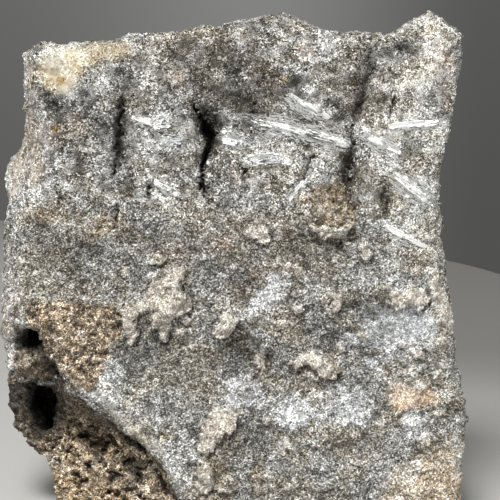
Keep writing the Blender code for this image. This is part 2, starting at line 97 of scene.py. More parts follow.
# Thin crusts on the face: height in millimetres, then the outline (x, z)
CRUSTS = {
    "curl_body": (0.42, [
        (-5.6, 29.2), (-5.0, 28.4), (-6.1, 27.1), (-5.9, 26.4), (-4.8, 24.9), (-4.7, 24.1), (-5.9, 23.9),
        (-7.0, 23.3), (-7.0, 22.0), (-7.5, 20.6), (-8.4, 20.8), (-8.9, 22.6), (-9.2, 24.4), (-10.0, 25.1),
        (-9.8, 26.2), (-9.0, 27.1), (-7.4, 27.6), (-6.5, 28.5)]),
    "curl_tail": (0.34, [
        (-12.6, 24.2), (-11.2, 24.5), (-9.6, 25.0), (-9.2, 24.2), (-10.5, 23.8), (-10.9, 22.9), (-10.7, 21.4),
        (-11.3, 20.1), (-11.9, 20.9), (-12.3, 22.7)]),
    "curl_right": (0.3, [(-5.9, 23.8), (-4.7, 23.4), (-4.5, 22.6), (-5.4, 22.3), (-6.2, 23.1)]),
    "small_chip": (0.42, [
        (-2.2, 21.8), (-1.5, 23.0), (-0.5, 23.3), (0.6, 22.8), (-0.1, 22.0), (-0.6, 20.9), (-1.7, 20.9)]),
    "white_chip": (0.42, [
        (9.3, 25.5), (10.4, 26.1), (11.8, 25.9), (11.8, 24.1), (11.1, 24.0), (10.3, 24.9), (9.4, 24.9)]),
    "white_crumb": (0.3, [(6.4, 24.7), (7.5, 24.9), (7.9, 24.1), (6.9, 23.8)]),
    "crescent": (0.42, [
        (6.3, 18.1), (7.3, 19.1), (8.5, 19.7), (9.6, 19.1), (9.8, 18.1), (10.9, 18.1), (11.6, 17.1),
        (10.6, 16.5), (9.6, 17.1), (8.6, 18.1), (7.6, 17.9), (6.8, 17.3)]),
    "bay_chip": (0.3, [(2.5, 18.5), (3.0, 20.2), (3.9, 20.2), (3.6, 18.9), (3.2, 17.2), (2.5, 17.1)]),
    "foot_flake": (0.34, [
        (-3.9, 8.4), (-3.8, 9.9), (-3.6, 11.2), (-2.7, 12.3), (-1.5, 13.1), (-0.2, 13.1), (0.5, 12.2),
        (0.1, 10.9), (-1.1, 10.0), (-1.9, 9.2), (-2.6, 8.2), (-3.3, 7.9)]),
    "foot_flake_low": (0.22, [
        (-4.1, 6.4), (-3.4, 7.1), (-2.6, 6.8), (-2.4, 5.4), (-2.7, 3.4), (-4.2, 3.3)]),
    "ledge_chip": (0.34, [
        (1.1, 33.2), (2.3, 33.5), (3.9, 32.8), (4.1, 31.7), (3.1, 31.5), (2.0, 32.1), (1.2, 32.5)]),
    "cream_chip": (0.3, [(13.9, 31.5), (14.8, 31.8), (15.3, 30.6), (14.8, 29.4), (14.0, 29.9)]),
    "right_chip": (0.34, [
        (17.0, 26.2), (18.8, 26.7), (21.1, 26.4), (21.7, 25.1), (20.5, 24.0), (19.2, 24.8), (17.9, 24.2),
        (16.9, 25.1)]),
    "edge_strip": (0.2, [
        (21.5, 28.9), (22.4, 28.4), (23.3, 26.4), (24.1, 24.0), (24.5, 21.2), (23.3, 21.5), (22.4, 24.0),
        (21.6, 26.4)]),
    "saddle_chip": (0.26, [(-9.4, 30.3), (-8.1, 30.5), (-7.3, 29.7), (-8.5, 29.0), (-9.5, 29.4)]),
    "low_chip": (0.26, [(19.8, 19.6), (20.6, 19.9), (21.1, 18.8), (20.1, 18.4)]),
    "mid_chip": (0.26, [(11.2, 20.4), (12.0, 20.6), (12.4, 19.6), (11.5, 19.3)]),
    "ledge_lip": (0.5, [
        (8.4, 33.6), (9.7, 33.7), (11.3, 33.3), (12.9, 33.9), (13.1, 33.0), (11.8, 32.2), (10.7, 32.5),
        (10.0, 32.1), (9.1, 32.7)]),
    "tan_ledge": (0.12, [
        (8.6, 37.4), (10.2, 38.0), (12.0, 38.0), (12.6, 36.6), (13.0, 35.4), (13.0, 33.7), (12.4, 32.9),
        (10.9, 33.1), (9.3, 33.4), (8.6, 34.8), (8.3, 36.3)]),
}

# Plates of the face that stand proud with a stepped edge: height in millimetres, then the outline (x, z)
PLATES = {
    "white_boss": (0.3, [
        (11.5, 21.3), (12.0, 22.4), (13.9, 22.6), (17.0, 23.1), (17.2, 25.3), (18.5, 26.4), (20.0, 26.5),
        (21.1, 25.3), (21.9, 23.3), (23.3, 21.7), (23.6, 20.2), (21.0, 19.3), (19.2, 17.9), (17.0, 17.6),
        (15.4, 18.9), (13.2, 19.7)]),
    "foot_plate": (0.35, [
        (7.0, 17.0), (11.4, 17.4), (14.6, 16.4), (16.4, 13.2), (14.2, 9.8), (10.4, 8.6), (6.8, 9.4),
        (5.2, 12.6)]),
    "dark_plate": (-0.3, [
        (-1.6, 21.0), (0.8, 21.4), (3.2, 20.4), (3.4, 17.4), (2.0, 15.2), (-0.6, 15.6), (-1.8, 18.2)]),
    "crown_plate": (0.3, [
        (-4.0, 54.0), (1.6, 53.6), (3.6, 50.8), (2.4, 48.6), (-1.2, 47.6), (-4.2, 49.2), (-5.2, 51.8)]),
}

# How far the top is worn down along the face, as (x, drop in millimetres)
TOP_TRIM = [(-26.0, -0.3), (-10.0, -0.2), (-2.0, 0.1), (1.8, 0.0), (3.4, -0.3), (15.8, -0.2), (17.6, 0.3),
            (19.4, -0.1), (21.4, -0.4), (22.6, 0.3), (23.4, 0.3), (24.6, 0.1)]

# The porous tan stain above the rim, as an outline (x, z)
POROUS_STAIN = [
    (-22.9, 25.0), (-20.2, 25.2), (-17.4, 25.0), (-14.7, 24.8), (-12.5, 24.2), (-12.3, 22.4), (-12.6, 21.1),
    (-13.8, 20.4), (-13.7, 18.5), (-14.7, 16.7), (-15.5, 14.9), (-16.4, 15.0), (-17.4, 15.6), (-18.9, 17.2),
    (-20.6, 19.2), (-21.8, 21.2), (-23.0, 23.3),
]

# Stains with a clear outline on the face: stain, strength, softness of the edge, then the outline (x, z)
STAINS = {
    "cream_corner": ("cream", 1.0, 0.9, [
        (-21.6, 51.7), (-20.2, 52.6), (-18.4, 52.9), (-16.4, 52.6), (-15.8, 51.5), (-16.4, 50.2),
        (-17.1, 48.8), (-18.2, 48.0), (-19.3, 48.0), (-20.6, 49.1), (-21.4, 50.2)]),
    "cream_edge": ("cream", 0.6, 0.9, [
        (-16.4, 52.8), (-14.2, 53.2), (-11.6, 53.4), (-11.3, 52.3), (-12.9, 51.3), (-14.5, 51.0),
        (-15.9, 51.0)]),
    "left_strip": ("strip", 0.85, 0.5, [
        (-23.8, 53.2), (-21.7, 52.1), (-21.5, 50.2), (-21.1, 48.2), (-20.2, 46.0), (-19.4, 44.2),
        (-19.5, 41.8), (-20.2, 39.8), (-21.5, 38.5), (-24.8, 36.1), (-27.0, 37.0), (-27.0, 45.0)]),
    "tan_ledge": ("olive", 0.9, 0.5, [
        (8.6, 37.4), (10.2, 38.2), (12.0, 38.1), (12.8, 36.6), (13.2, 35.4), (13.2, 33.7), (12.4, 32.7),
        (10.9, 32.9), (9.3, 33.2), (8.5, 34.8), (8.1, 36.3)]),
    "foot_tan": ("foot", 0.85, 0.7, [
        (17.2, 5.7), (18.8, 6.9), (20.5, 7.5), (22.7, 8.1), (27.0, 9.2), (27.0, -2.0), (15.4, -2.0),
        (16.4, 3.3)]),
    "peach": ("rust", 0.9, 0.5, [
        (17.2, 15.4), (19.2, 15.8), (21.5, 15.6), (22.6, 14.4), (21.6, 13.0), (19.9, 12.6), (18.4, 12.5),
        (17.5, 13.6)]),
    "ledge_floor": ("ledge", 0.9, 0.5, [
        (-21.6, 9.8), (-17.4, 11.2), (-13.4, 9.7), (-9.8, 7.0), (-7.6, 4.0), (-6.0, -2.0), (-24.0, -2.0)]),
    "left_low_strip": ("strip", 0.8, 0.4, [
        (-27.0, 27.0), (-24.6, 26.5), (-24.0, 23.5), (-24.3, 20.5), (-24.2, 18.0), (-27.0, 17.5)]),
    "inner_block": ("block", 0.8, 0.5, [
        (-24.0, 19.2), (-21.4, 19.4), (-20.4, 18.0), (-20.2, 16.2), (-22.0, 15.8), (-24.0, 16.2)]),
}

# Soft-edged tones on the face. Each cloud: centre x and z, radii along x and z, turn in degrees, strength
CLOUDS = {
    "pale": {
        "left_cheek": (-22.6, 38.8, 3.0, 3.4, 0, 0.7), "left_low": (-24.4, 29.0, 1.2, 8.0, 0, 0.75),
        "between_clefts": (-7.6, 42.6, 3.6, 3.0, 0, 0.3),
        "between_clefts_top": (-8.6, 50.6, 2.4, 2.2, 0, 0.4), "crown_right": (7.6, 51.8, 3.0, 2.0, -20, 0.5),
        "top_right": (21.6, 50.6, 3.6, 4.6, 0, 0.9), "right_upper": (20.6, 44.4, 3.4, 4.0, 0, 0.65),
        "right_of_groove": (16.2, 42.0, 1.6, 3.0, 0, 0.35),
        "below_main_blades": (3.0, 41.0, 4.0, 1.2, -4, 0.55),
        "beside_groove": (10.8, 40.6, 1.6, 1.4, -30, 0.5), "right_lower": (19.8, 36.4, 3.2, 3.6, -40, 0.6),
        "right_middle": (20.8, 29.6, 3.4, 4.4, 0, 0.3), "white_boss": (19.4, 22.4, 5.2, 3.4, -14, 0.95),
        "right_foot": (21.4, 17.4, 3.2, 2.6, 0, 0.4), "right_low_blades": (19.8, 37.6, 3.4, 2.2, -38, 1.0),
        "right_high_blades": (19.6, 44.4, 4.0, 1.4, 6, 1.0), "low_middle": (8.6, 13.6, 6.4, 2.6, 0, 0.45),
        "foot_middle": (12.6, 8.6, 5.0, 3.4, 20, 0.35), "rim_right": (-12.2, 14.6, 4.4, 1.6, -44, 0.55),
        "rim_foot": (-5.8, 6.4, 2.0, 4.6, 20, 0.55), "above_band": (-16.0, 41.0, 4.0, 3.0, 0, 0.15),
    },
    "dark": {
        # Painted shade among these: corner_trough, left_cleft, black_cleft_wall, black_cleft_foot, groove,
        # groove_foot, horn_shadow and right_notch darken the clefts, the groove, the notch and beside the
        # horn
        "corner_trough": (-19.4, 46.8, 1.3, 3.0, 12, 0.75), "left_face": (-16.2, 44.0, 2.8, 3.8, 0, 0.55),
        "left_cleft": (-12.6, 43.6, 1.0, 4.4, 3, 1.0), "beside_left_cleft": (-11.8, 50.2, 1.4, 2.0, 0, 0.6),
        "top_middle": (-1.2, 49.8, 6.2, 5.0, 0, 0.45), "black_cleft_wall": (-2.1, 44.0, 1.5, 2.6, 0, 1.0),
        "black_cleft_foot": (-3.3, 39.6, 0.8, 3.2, 0, 0.8), "groove": (14.0, 48.4, 1.2, 3.6, -8, 0.12),
        "groove_foot": (12.4, 39.2, 1.3, 3.4, 0, 0.3), "horn_shadow": (18.7, 52.6, 1.2, 1.6, 0, 0.7),
        "right_notch": (16.5, 36.6, 0.8, 2.6, 0, 0.4), "ledge_top": (10.6, 37.0, 2.2, 1.1, 0, 0.6),
        "left_corner": (-21.4, 33.0, 1.2, 2.0, 0, 0.7), "left_band": (-17.0, 29.8, 6.4, 2.8, -6, 0.6),
        "middle_band": (-7.0, 31.6, 5.6, 2.4, 4, 0.35), "dark_centre": (-0.4, 27.0, 4.4, 3.0, 0, 0.22),
        "dark_bay": (1.2, 18.6, 2.4, 2.8, 0, 0.6), "left_slope": (-10.0, 19.6, 4.6, 3.2, -30, 0.55),
        "under_white": (14.7, 24.4, 2.9, 2.1, 0, 1.0), "under_frost": (8.6, 21.4, 3.8, 1.5, 0, 0.5),
        "right_dark": (21.6, 16.8, 1.4, 2.2, 0, 0.6), "foot_dark": (1.4, 9.8, 3.6, 2.4, -14, 0.65),
        "foot_right_dark": (21.4, 9.8, 3.0, 1.4, 6, 0.1), "foot_low_dark": (12.4, 3.4, 3.0, 1.8, 0, 0.35),
        "foot_mid_dark": (17.6, 8.6, 2.0, 2.4, 30, 0.25), "foot_left_dark": (-1.6, 2.6, 2.4, 2.4, 0, 0.4),
        "below_ledge": (6.0, 31.0, 4.0, 1.4, 0, 0.3),
    },
    "brown": {
        "top_middle": (-2.6, 51.2, 6.4, 4.2, 0, 0.75), "crown_foot": (2.8, 49.6, 3.2, 3.6, 0, 0.6),
        "over_groove": (13.2, 48.0, 2.6, 2.6, 0, 0.75), "groove_wall": (13.4, 48.8, 1.7, 3.4, -8, 0.55),
        "groove_foot": (12.3, 39.0, 1.4, 2.8, 0, 0.5), "middle": (8.6, 30.2, 5.2, 2.6, 0, 0.5),
        "saddle": (-7.0, 31.0, 5.6, 1.8, 0, 0.4), "left_mid": (-2.4, 39.0, 2.6, 3.0, 0, 0.35),
        "lower_middle": (8.8, 15.6, 4.0, 2.4, 0, 0.3), "bay": (1.2, 18.2, 3.0, 3.0, 0, 0.35),
        "foot": (12.8, 9.8, 3.4, 2.4, 0, 0.3), "foot_left": (-2.2, 4.8, 2.0, 3.4, 0, 0.5),
    },
    "pink": {
        "crown_spot": (8.0, 52.4, 1.6, 1.2, 0, 0.85), "top_right": (23.0, 49.6, 1.4, 3.4, 0, 0.4),
        "middle_left": (-1.4, 31.6, 1.4, 1.3, 0, 0.65), "middle": (5.6, 28.6, 2.8, 1.0, 0, 0.5),
        "saddle": (-6.0, 30.6, 3.6, 1.0, 0, 0.45), "reddish_bay": (0.6, 39.6, 1.2, 1.0, 0, 0.5),
        "left_cheek": (-20.6, 42.6, 1.6, 2.6, 0, 0.4), "left_low": (-24.6, 26.0, 0.9, 5.0, 0, 0.5),
        "bay": (2.2, 16.0, 1.0, 0.7, 0, 0.5), "foot_right": (14.6, 7.4, 1.4, 1.2, 0, 0.35),
    },
    "tan": {
        "left_line": (-20.4, 34.6, 2.6, 0.7, 0, 0.6), "under_left_cleft": (-14.4, 33.6, 1.8, 1.0, 20, 0.55),
        "left_ochre": (-17.4, 44.8, 2.0, 1.0, 0, 0.45), "cheek": (-23.0, 39.4, 1.9, 1.6, 20, 0.9),
        "crown_hollow": (2.4, 50.4, 1.4, 1.4, 0, 0.35), "above_cleft": (-5.9, 49.7, 0.9, 1.1, 0, 0.6),
        "crown_right": (5.4, 49.4, 0.7, 1.1, 0, 0.6), "right_upper": (19.4, 46.8, 1.1, 0.9, 0, 0.55),
        "right_edge": (23.4, 46.9, 0.6, 1.0, 0, 0.7), "ledge_left": (7.6, 36.6, 0.8, 0.7, 0, 0.55),
        "edge_strip": (23.4, 25.4, 1.3, 4.2, 0, 0.45), "foot_left": (-2.4, 4.6, 2.0, 3.6, 0, 0.5),
        "foot_spot_left": (2.8, 5.6, 0.9, 1.0, 0, 0.6), "foot_spot": (5.2, 4.6, 0.8, 0.8, 0, 0.5),
        "foot_right_spot": (12.6, 7.8, 0.8, 0.7, 0, 0.6), "foot_middle": (8.6, 10.4, 1.3, 1.3, 0, 0.45),
        "boss_left_spot": (11.8, 19.8, 0.8, 0.6, 0, 0.5), "boss_right_spot": (20.2, 18.8, 0.8, 0.9, 0, 0.5),
        "crescent_rim": (8.4, 18.0, 2.4, 0.9, 0, 0.45), "bay_right": (5.6, 22.8, 1.6, 1.4, 0, 0.3),
        "foot_right_edge": (24.0, 9.0, 1.8, 1.6, 30, 0.5), "stain_tip": (-12.6, 24.2, 1.8, 1.0, 0, 0.5),
    },
    "ochre": {
        "trough_foot": (-19.5, 44.0, 0.6, 0.5, 0, 0.8), "quartz_yellow": (-18.9, 49.2, 0.8, 0.6, 0, 0.75),
        "crown_right": (5.4, 49.2, 0.4, 0.7, 0, 0.5), "right_edge": (23.5, 46.9, 0.35, 0.7, 0, 0.5),
        "ledge_left": (7.5, 36.7, 0.5, 0.4, 0, 0.5),
    },
    "sulphur": {
        "top_notch": (15.4, 53.8, 0.6, 0.3, 0, 0.4), "top_notch_right": (16.4, 53.7, 0.3, 0.4, 0, 0.55),
        "rim_speck": (-8.0, 9.6, 0.3, 0.4, 0, 0.6),
    },
    "cream": {
        "horn": (22.0, 55.2, 1.6, 1.2, 0, 0.35), "top_edge": (-5.0, 54.4, 4.0, 0.5, 4, 0.3),
        "stain_rim": (-14.4, 15.2, 1.4, 1.0, -42, 0.45),
    },
    "frost": {
        "streak_top": (4.9, 27.4, 1.5, 1.7, 0, 0.7), "streak": (3.4, 25.2, 3.2, 1.5, 48, 0.8),
        "streak_foot": (0.8, 23.2, 2.4, 1.1, 20, 0.6), "boss": (18.4, 22.8, 4.6, 2.8, -14, 1.0),
        "boss_left": (14.2, 20.9, 3.0, 1.2, -14, 0.75), "boss_foot": (17.4, 19.4, 2.4, 1.4, 0, 0.55),
        "low_left": (0.8, 14.6, 2.8, 2.4, 0, 0.8), "low_middle": (7.0, 12.8, 3.0, 2.6, 0, 0.75),
        "low_right": (12.6, 13.8, 2.8, 2.6, -20, 0.8), "bay_right": (9.4, 22.6, 1.6, 1.2, 0, 0.35),
        "right_foot": (20.6, 10.9, 2.0, 1.5, 0, 0.55), "foot": (4.6, 8.4, 3.0, 1.6, 20, 0.45),
        "foot_right": (15.4, 5.4, 2.2, 1.6, 0, 0.4), "boss_point": (15.0, 18.4, 1.6, 1.6, 0, 0.7),
        "right_streak": (17.4, 33.2, 2.6, 1.0, -26, 0.7), "right_patch": (17.0, 26.6, 2.0, 1.2, 0, 0.45),
        "crown": (9.4, 52.2, 2.4, 1.4, 0, 0.5), "horn_foot": (21.0, 53.4, 1.8, 1.0, 0, 0.5),
        "left_rim": (-12.4, 17.0, 2.6, 1.4, -36, 0.55), "rim_low": (-8.2, 11.6, 2.4, 1.2, -36, 0.45),
        "left_corner": (-17.0, 48.0, 1.8, 1.4, 0, 0.35),
    },
}

# Where tellurium dusts the rock, as clouds with the same six numbers
SILVER_CLOUDS = {
    "main": (7.0, 43.9, 6.0, 1.3, -13, 0.9), "main_lower": (9.4, 42.9, 3.8, 0.9, -13, 0.8),
    "upper": (7.6, 46.4, 3.2, 0.9, -32, 0.8), "upper_end": (10.0, 45.4, 0.9, 1.0, -40, 0.6),
    "cleft_side": (0.4, 42.9, 2.6, 0.9, -10, 0.85), "below_cleft_side": (3.2, 40.9, 3.4, 0.8, -3, 0.7),
    "left_high": (-9.2, 44.8, 2.0, 0.6, -12, 0.75), "between": (-6.8, 42.8, 2.4, 0.9, -6, 0.6),
    "left_middle": (-9.6, 42.0, 1.4, 1.6, -70, 0.45), "left_low": (-7.2, 37.6, 1.7, 0.7, -28, 0.8),
    "left_low_bits": (-10.2, 36.8, 1.0, 0.7, -20, 0.65), "left_low_far": (-13.0, 37.8, 0.6, 0.9, -60, 0.55),
    "bright_bleb": (-10.6, 39.6, 0.5, 0.4, -30, 0.8), "fan": (15.8, 42.7, 2.6, 1.2, -24, 0.85),
    "right_high": (19.6, 44.3, 3.6, 0.6, 6, 0.85), "right_low": (19.6, 37.4, 3.0, 1.2, -38, 0.9),
    "right_streak": (18.6, 32.1, 3.2, 0.6, -27, 0.65), "groove_side": (14.2, 36.8, 0.9, 0.9, -50, 0.55),
    "needle": (6.4, 37.2, 1.6, 0.4, 46, 0.7), "beside_needle": (11.4, 40.4, 1.0, 0.7, -45, 0.6),
    "below_main": (10.2, 41.4, 1.6, 0.7, -40, 0.5), "right_of_fan": (17.6, 41.0, 1.6, 0.7, -36, 0.45),
}

# Bundles that lie deeper in the rock than the rest, in millimetres; negative where they stand proud
BURIED = {
    "tellurium_blades_right_streak": 0.34, "tellurium_needle": 0.12, "tellurium_blades_left_high": 0.14,
    "tellurium_blades_upper": -0.12, "tellurium_blades_right_low": -0.12, "tellurium_blades_fan": -0.05}

# How dull the dullest blades of a bundle are, against 1 for the rest
TARNISH = {
    "tellurium_blades_main": 1.1, "tellurium_blades_upper": 0.55, "tellurium_blades_right_low": 0.6,
    "tellurium_blades_fan": 0.7, "tellurium_blades_right_high": 0.8}

# A thin blade's shape, as shares of its own size: what its ends and its front edge lose
END_TAPER, FRONT_TAPER, FRONT_SHORTENING, END_FLATTENING = 0.7, 0.3, 0.06, 0.6

# Thin blades in a bundle: the shortest and how much longer the others get, as shares of the bundle's length,
# and the power that makes long ones rare
SHORTEST_BLADE, BLADE_GROWTH, BLADE_RARITY = 0.08, 0.45, 2.2

# A loose sliver's thickness and width, as shares of its length
SLIVER_THICKNESS, SLIVER_WIDTH = 0.18, 0.11

# Relief all over the rock, in millimetres: grains, small lumps, lumps, chips and crumbs
GRAIN_RELIEF, SMALL_RELIEF, LUMP_RELIEF, CHIP_RELIEF, CRUMB_RELIEF = 0.06, 0.10, 0.15, 0.28, 0.14
LOW_LUMPS, LOW_CHIPS = 0.12, 0.14  # what the lower face adds to its lumps and chips
TERRACE_HEIGHT = 0.26
FLAKE_HEIGHT = 0.2  # small flakes between the crusts
LEE_DEPTH = 0.24  # how far the face sinks beside a crust
SIDE_CHIPS = 0.8  # large chips of the hidden sides
PIT_DEPTH = 0.34  # pits of the porous stain and the broken corner
BLOCK_SWELLING, BLOCK_MIDDLE = 0.9, (-22.3, 17.6)  # how far the inner block swells, and its middle (x, z)
HORN_CHIPS, HORN_CRUMBS = 0.7, 0.45

# Where things fade in, in millimetres: none at the first number and all at the second
LOW_FACE = (30.0, 22.0)  # up the face
BLADED_FACE = (33.0, 38.0)
HORN_ACROSS, HORN_UP = (14.0, 17.0), (50.5, 53.5)
TOP_UP, TOP_BEHIND = (47.5, 52.0), (18.0, 8.0)
FOOT_UP = (0.05, 0.6)
FACE_BEHIND = (14.0, 9.0)  # behind the face's level
FACING = (0.1, 0.6)  # how far a direction turns to the front, as a share

# Pattern of the rock's material: crumbs and specks as shares of a grain, how far the cells wander in
# millimetres, and how the laths of the fibrous rock slant and stretch
CRUMB_SHARE, SPECK_SHARE, CELL_DRIFT = 0.55, 0.62, 0.3
LATH_SLANT, LATH_STRETCH = math.radians(28.0), (0.5, 0.95, 1.45)

# How much of their colour the porous stain, the bloom and the tellurium dust give to the rock
STAIN_SHARE, BLOOM_SHARE, DUST_SHARE = 0.85, 0.8, 0.6
DUST_TONE, DUST_SHEEN = (0.72, 0.73, 0.72, 1.0), (0.66, 0.67, 0.66, 1.0)

# How far the shading of each grain is turned its own way: a loose grain's, and one's in the rock itself
LOOSE_TURN, FIXED_TURN = 0.25, 0.62

# Brightness of the grains against the rock's colour, from the darkest to the palest: share of the ramp, level
SALT = [(0.0, 0.07), (0.18, 0.18), (0.34, 0.46), (0.47, 0.82), (0.60, 1.25), (0.76, 2.0), (1.0, 3.4)]
SALT_SCALE = SALT[-1][1]  # a ramp holds levels up to 1, so they are divided by this and multiplied back

PIT_SHADE = (0.07, 0.048, 0.03)  # painted shade for the bottoms of the broken corner's pits
DEEP_SHADE = (0.02, 0.018, 0.014)  # the black hollows and the bottoms of the clefts

# How far each stain evens out the grain under it
CALMNESS = {"cream": 0.95, "strip": 0.4, "rust": 0.7, "foot": 0.35, "olive": 0.3, "block": 0.3}

# The hollows of the broken corner, painted black as shade, as outlines (x, z)
HOLLOWS = (
    [(-24.6, 20.4), (-23.9, 21.6), (-23.1, 22.7), (-21.9, 21.4), (-20.9, 19.8), (-21.8, 19.4), (-23.6, 19.3),
     (-24.6, 19.4)],
    [(-24.4, 15.6), (-20.1, 15.6), (-20.0, 12.8), (-20.6, 10.0), (-22.0, 9.4), (-23.6, 11.0)],
    [(-23.1, 21.2), (-21.9, 19.8), (-20.6, 18.3), (-19.7, 16.5), (-20.1, 15.1), (-20.8, 15.8), (-21.2, 17.6),
     (-22.4, 19.0), (-23.3, 19.5)],
)

# The pale edge along the bottom of the inner block, as a route (x, z, half width)
BLOCK_EDGE = [
    (-24.8, 16.6, 0.3), (-23.6, 15.7, 0.3), (-21.8, 15.1, 0.3), (-20.4, 15.3, 0.25), (-20.0, 16.2, 0.2),
]

# The rim of the broken corner: its line (x, z) down to the foot
RIM = [
    (-23.6, 23.6), (-22.4, 21.8), (-20.9, 19.8), (-19.2, 18.6), (-19.0, 17.6), (-17.5, 15.7), (-15.8, 14.8),
    (-14.6, 13.7), (-12.3, 11.1), (-9.5, 8.6), (-8.2, 8.0), (-7.5, 6.8), (-7.1, 5.4), (-6.5, 4.1),
    (-5.2, 2.0), (-4.6, -2.0),
]

# Pockets of the broken corner, whose bottoms get painted shade: extra depth in millimetres, then the route as
# (x, z, half width)
POCKETS = {
    "under_rim": (1.6, [(-13.4, 10.9, 0.5), (-11.4, 9.0, 1.1), (-9.6, 7.6, 0.6)]),
    "ledge_pit": (1.2, [(-12.2, 5.6, 0.7), (-11.0, 4.2, 0.9)]),
    "ledge_pit_left": (1.0, [(-17.4, 8.6, 0.6), (-16.4, 7.4, 0.7)]),
    "ledge_pit_right": (0.9, [(-8.4, 4.2, 0.5), (-8.0, 3.0, 0.6)]),
    "behind_rim": (1.5, [(-22.6, 22.0, 0.6), (-21.2, 20.2, 0.7), (-19.9, 18.4, 0.7), (-19.4, 16.4, 0.6)]),
    "lower_hollow": (1.6, [(-23.0, 14.8, 0.8), (-22.6, 11.4, 1.0)]),
    "wall_foot": (0.8, [(-14.6, 8.6, 0.5), (-13.2, 7.8, 0.7)]),
}


def colour_setting(name, description, default):
    """A colour that a user may change."""
    return FloatVectorProperty(name=name, description=description, default=default, subtype="COLOR")


def length_setting(name, description, millimetres):
    """A length that a user may change."""
    default = millimetres * MM
    return FloatProperty(name=name, description=description, default=default, unit="LENGTH", precision=5)


def angle_setting(name, description, degrees):
    """An angle that a user may change."""
    default = math.radians(degrees)
    return FloatProperty(name=name, description=description, default=default, subtype="ANGLE")


class RockFinish(bpy.types.PropertyGroup):
    """Sizes and colours of the quartz rock."""

    voxel: length_setting("Voxel", "Cell of the rock's even mesh", 0.67)
    grain: length_setting("Grain", "Size of the rock's mineral grains", 0.22)
    roughening: FloatProperty(
        name="Roughening", description="Scale of the fine relief", default=1.0, min=0.0, max=3.0)
    base: colour_setting("Quartz grey", "Mean colour of the rock", (0.250, 0.236, 0.205))
    pale: colour_setting("Pale quartz", "Colour of the pale rock", (0.42, 0.41, 0.375))
    # The dark colour also serves as painted shade in the clefts, the groove and the notch
    dark: colour_setting("Dark quartz", "Colour of the dark rock", (0.15, 0.144, 0.13))
    brown: colour_setting("Brown stain", "Colour of the brown stains", (0.155, 0.125, 0.085))
    pink: colour_setting("Pink stain", "Colour of the pinkish stains", (0.36, 0.27, 0.215))
    tan: colour_setting("Tan stain", "Colour of the tan stains", (0.36, 0.27, 0.17))
    porous: colour_setting("Porous stain", "Colour of the porous stain", (0.345, 0.262, 0.175))
    ledge: colour_setting("Ledge", "Colour of the broken corner's floor", (0.44, 0.34, 0.222))
    block: colour_setting("Inner block", "Colour of the block in the broken corner", (0.20, 0.165, 0.125))
    # The wall colour is brown rock darkened with painted shade under the rim
    wall: colour_setting("Wall", "Colour of the broken corner's wall", (0.15, 0.115, 0.078))
    olive: colour_setting("Brown crust", "Colour of the crust below the groove", (0.26, 0.205, 0.13))
    foot: colour_setting("Foot stain", "Colour of the stain at the right foot", (0.50, 0.42, 0.32))
    rust: colour_setting("Peach stain", "Colour of the peach stain", (0.56, 0.43, 0.32))
    strip: colour_setting("Left strip", "Colour of the strip at the left edge", (0.43, 0.395, 0.355))
    ochre: colour_setting("Ochre", "Colour of the ochre spots", (0.46, 0.31, 0.11))
    sulphur: colour_setting("Yellow specks", "Colour of the yellow specks", (0.60, 0.53, 0.14))
    cream: colour_setting("Cream quartz", "Colour of the cream quartz", (0.74, 0.66, 0.51))
    frost: colour_setting("White bloom", "Colour of the bluish white bloom", (0.455, 0.47, 0.495))
    crust: colour_setting("Crust", "Colour of the thin pale crusts", (0.495, 0.45, 0.385))
    crust_rim: colour_setting("Crust edge", "Colour of the crusts along their edges", (0.55, 0.52, 0.465))


class GrainFinish(bpy.types.PropertyGroup):
    """Quartz grains that stand half sunk in the rock."""

    on_face: FloatProperty(
        name="On the face", description="Grains on a square millimetre of face", default=6.0)
    on_sides: FloatProperty(
        name="On the sides", description="Grains on a square millimetre elsewhere", default=2.0)
    smallest: length_setting("Smallest", "Smallest grain", 0.06)
    largest: length_setting("Largest", "Largest grain", 0.19)
    seed: IntProperty(name="Seed", description="Random seed of the grains", default=7)


class TelluriumFinish(bpy.types.PropertyGroup):
    """Sizes and colours of the tellurium blades."""

    blade_width: length_setting("Blade width", "Width of one thin blade", 0.12)
    blade_thickness: length_setting("Blade thickness", "Thickness of one blade", 0.5)
    blades_per_mm: FloatProperty(
        name="Blades per mm", description="Blades for each millimetre of a bundle's width", default=105.0)
    slivers_per_square_mm: FloatProperty(
        name="Slivers per mm2", description="Loose slivers on a square millimetre", default=13.0)
    sliver_length: length_setting("Sliver length", "Length of the longest sliver", 1.0)
    seed: IntProperty(name="Seed", description="Random seed of the blades", default=3)
    metal: colour_setting("Metal", "Colour of fresh tellurium", (0.93, 0.93, 0.915))
    tarnish: colour_setting("Tarnish", "Colour of dulled tellurium", (0.17, 0.168, 0.16))


class StageSetup(bpy.types.PropertyGroup):
    """The camera, the lights and the pale board."""

    lens: FloatProperty(name="Lens", description="Focal length in millimetres", default=110.0)
    elevation: angle_setting("Elevation", "The camera's angle above the horizon", 7.0)
    target: FloatVectorProperty(
        name="Target", description="The point of the face that the camera looks at",
        default=(1.8 * MM, FACE_Y * MM, 30.8 * MM), subtype="XYZ", precision=5)
    face_height: length_setting("View height", "Height of the view at the face", 55.0)
    key_turn: angle_setting("Key turn", "The key light's angle to the left of the camera", 20.0)
    key_height: angle_setting("Key height", "The key light's angle above the horizon", 56.0)
    key_power: FloatProperty(name="Key light", description="Power of the key light in watts", default=11.5)
    fill_power: FloatProperty(name="Fill light", description="Power of the fill light in watts", default=2.4)
    ambient: FloatProperty(name="Ambient", description="Strength of the even light all round", default=0.23)


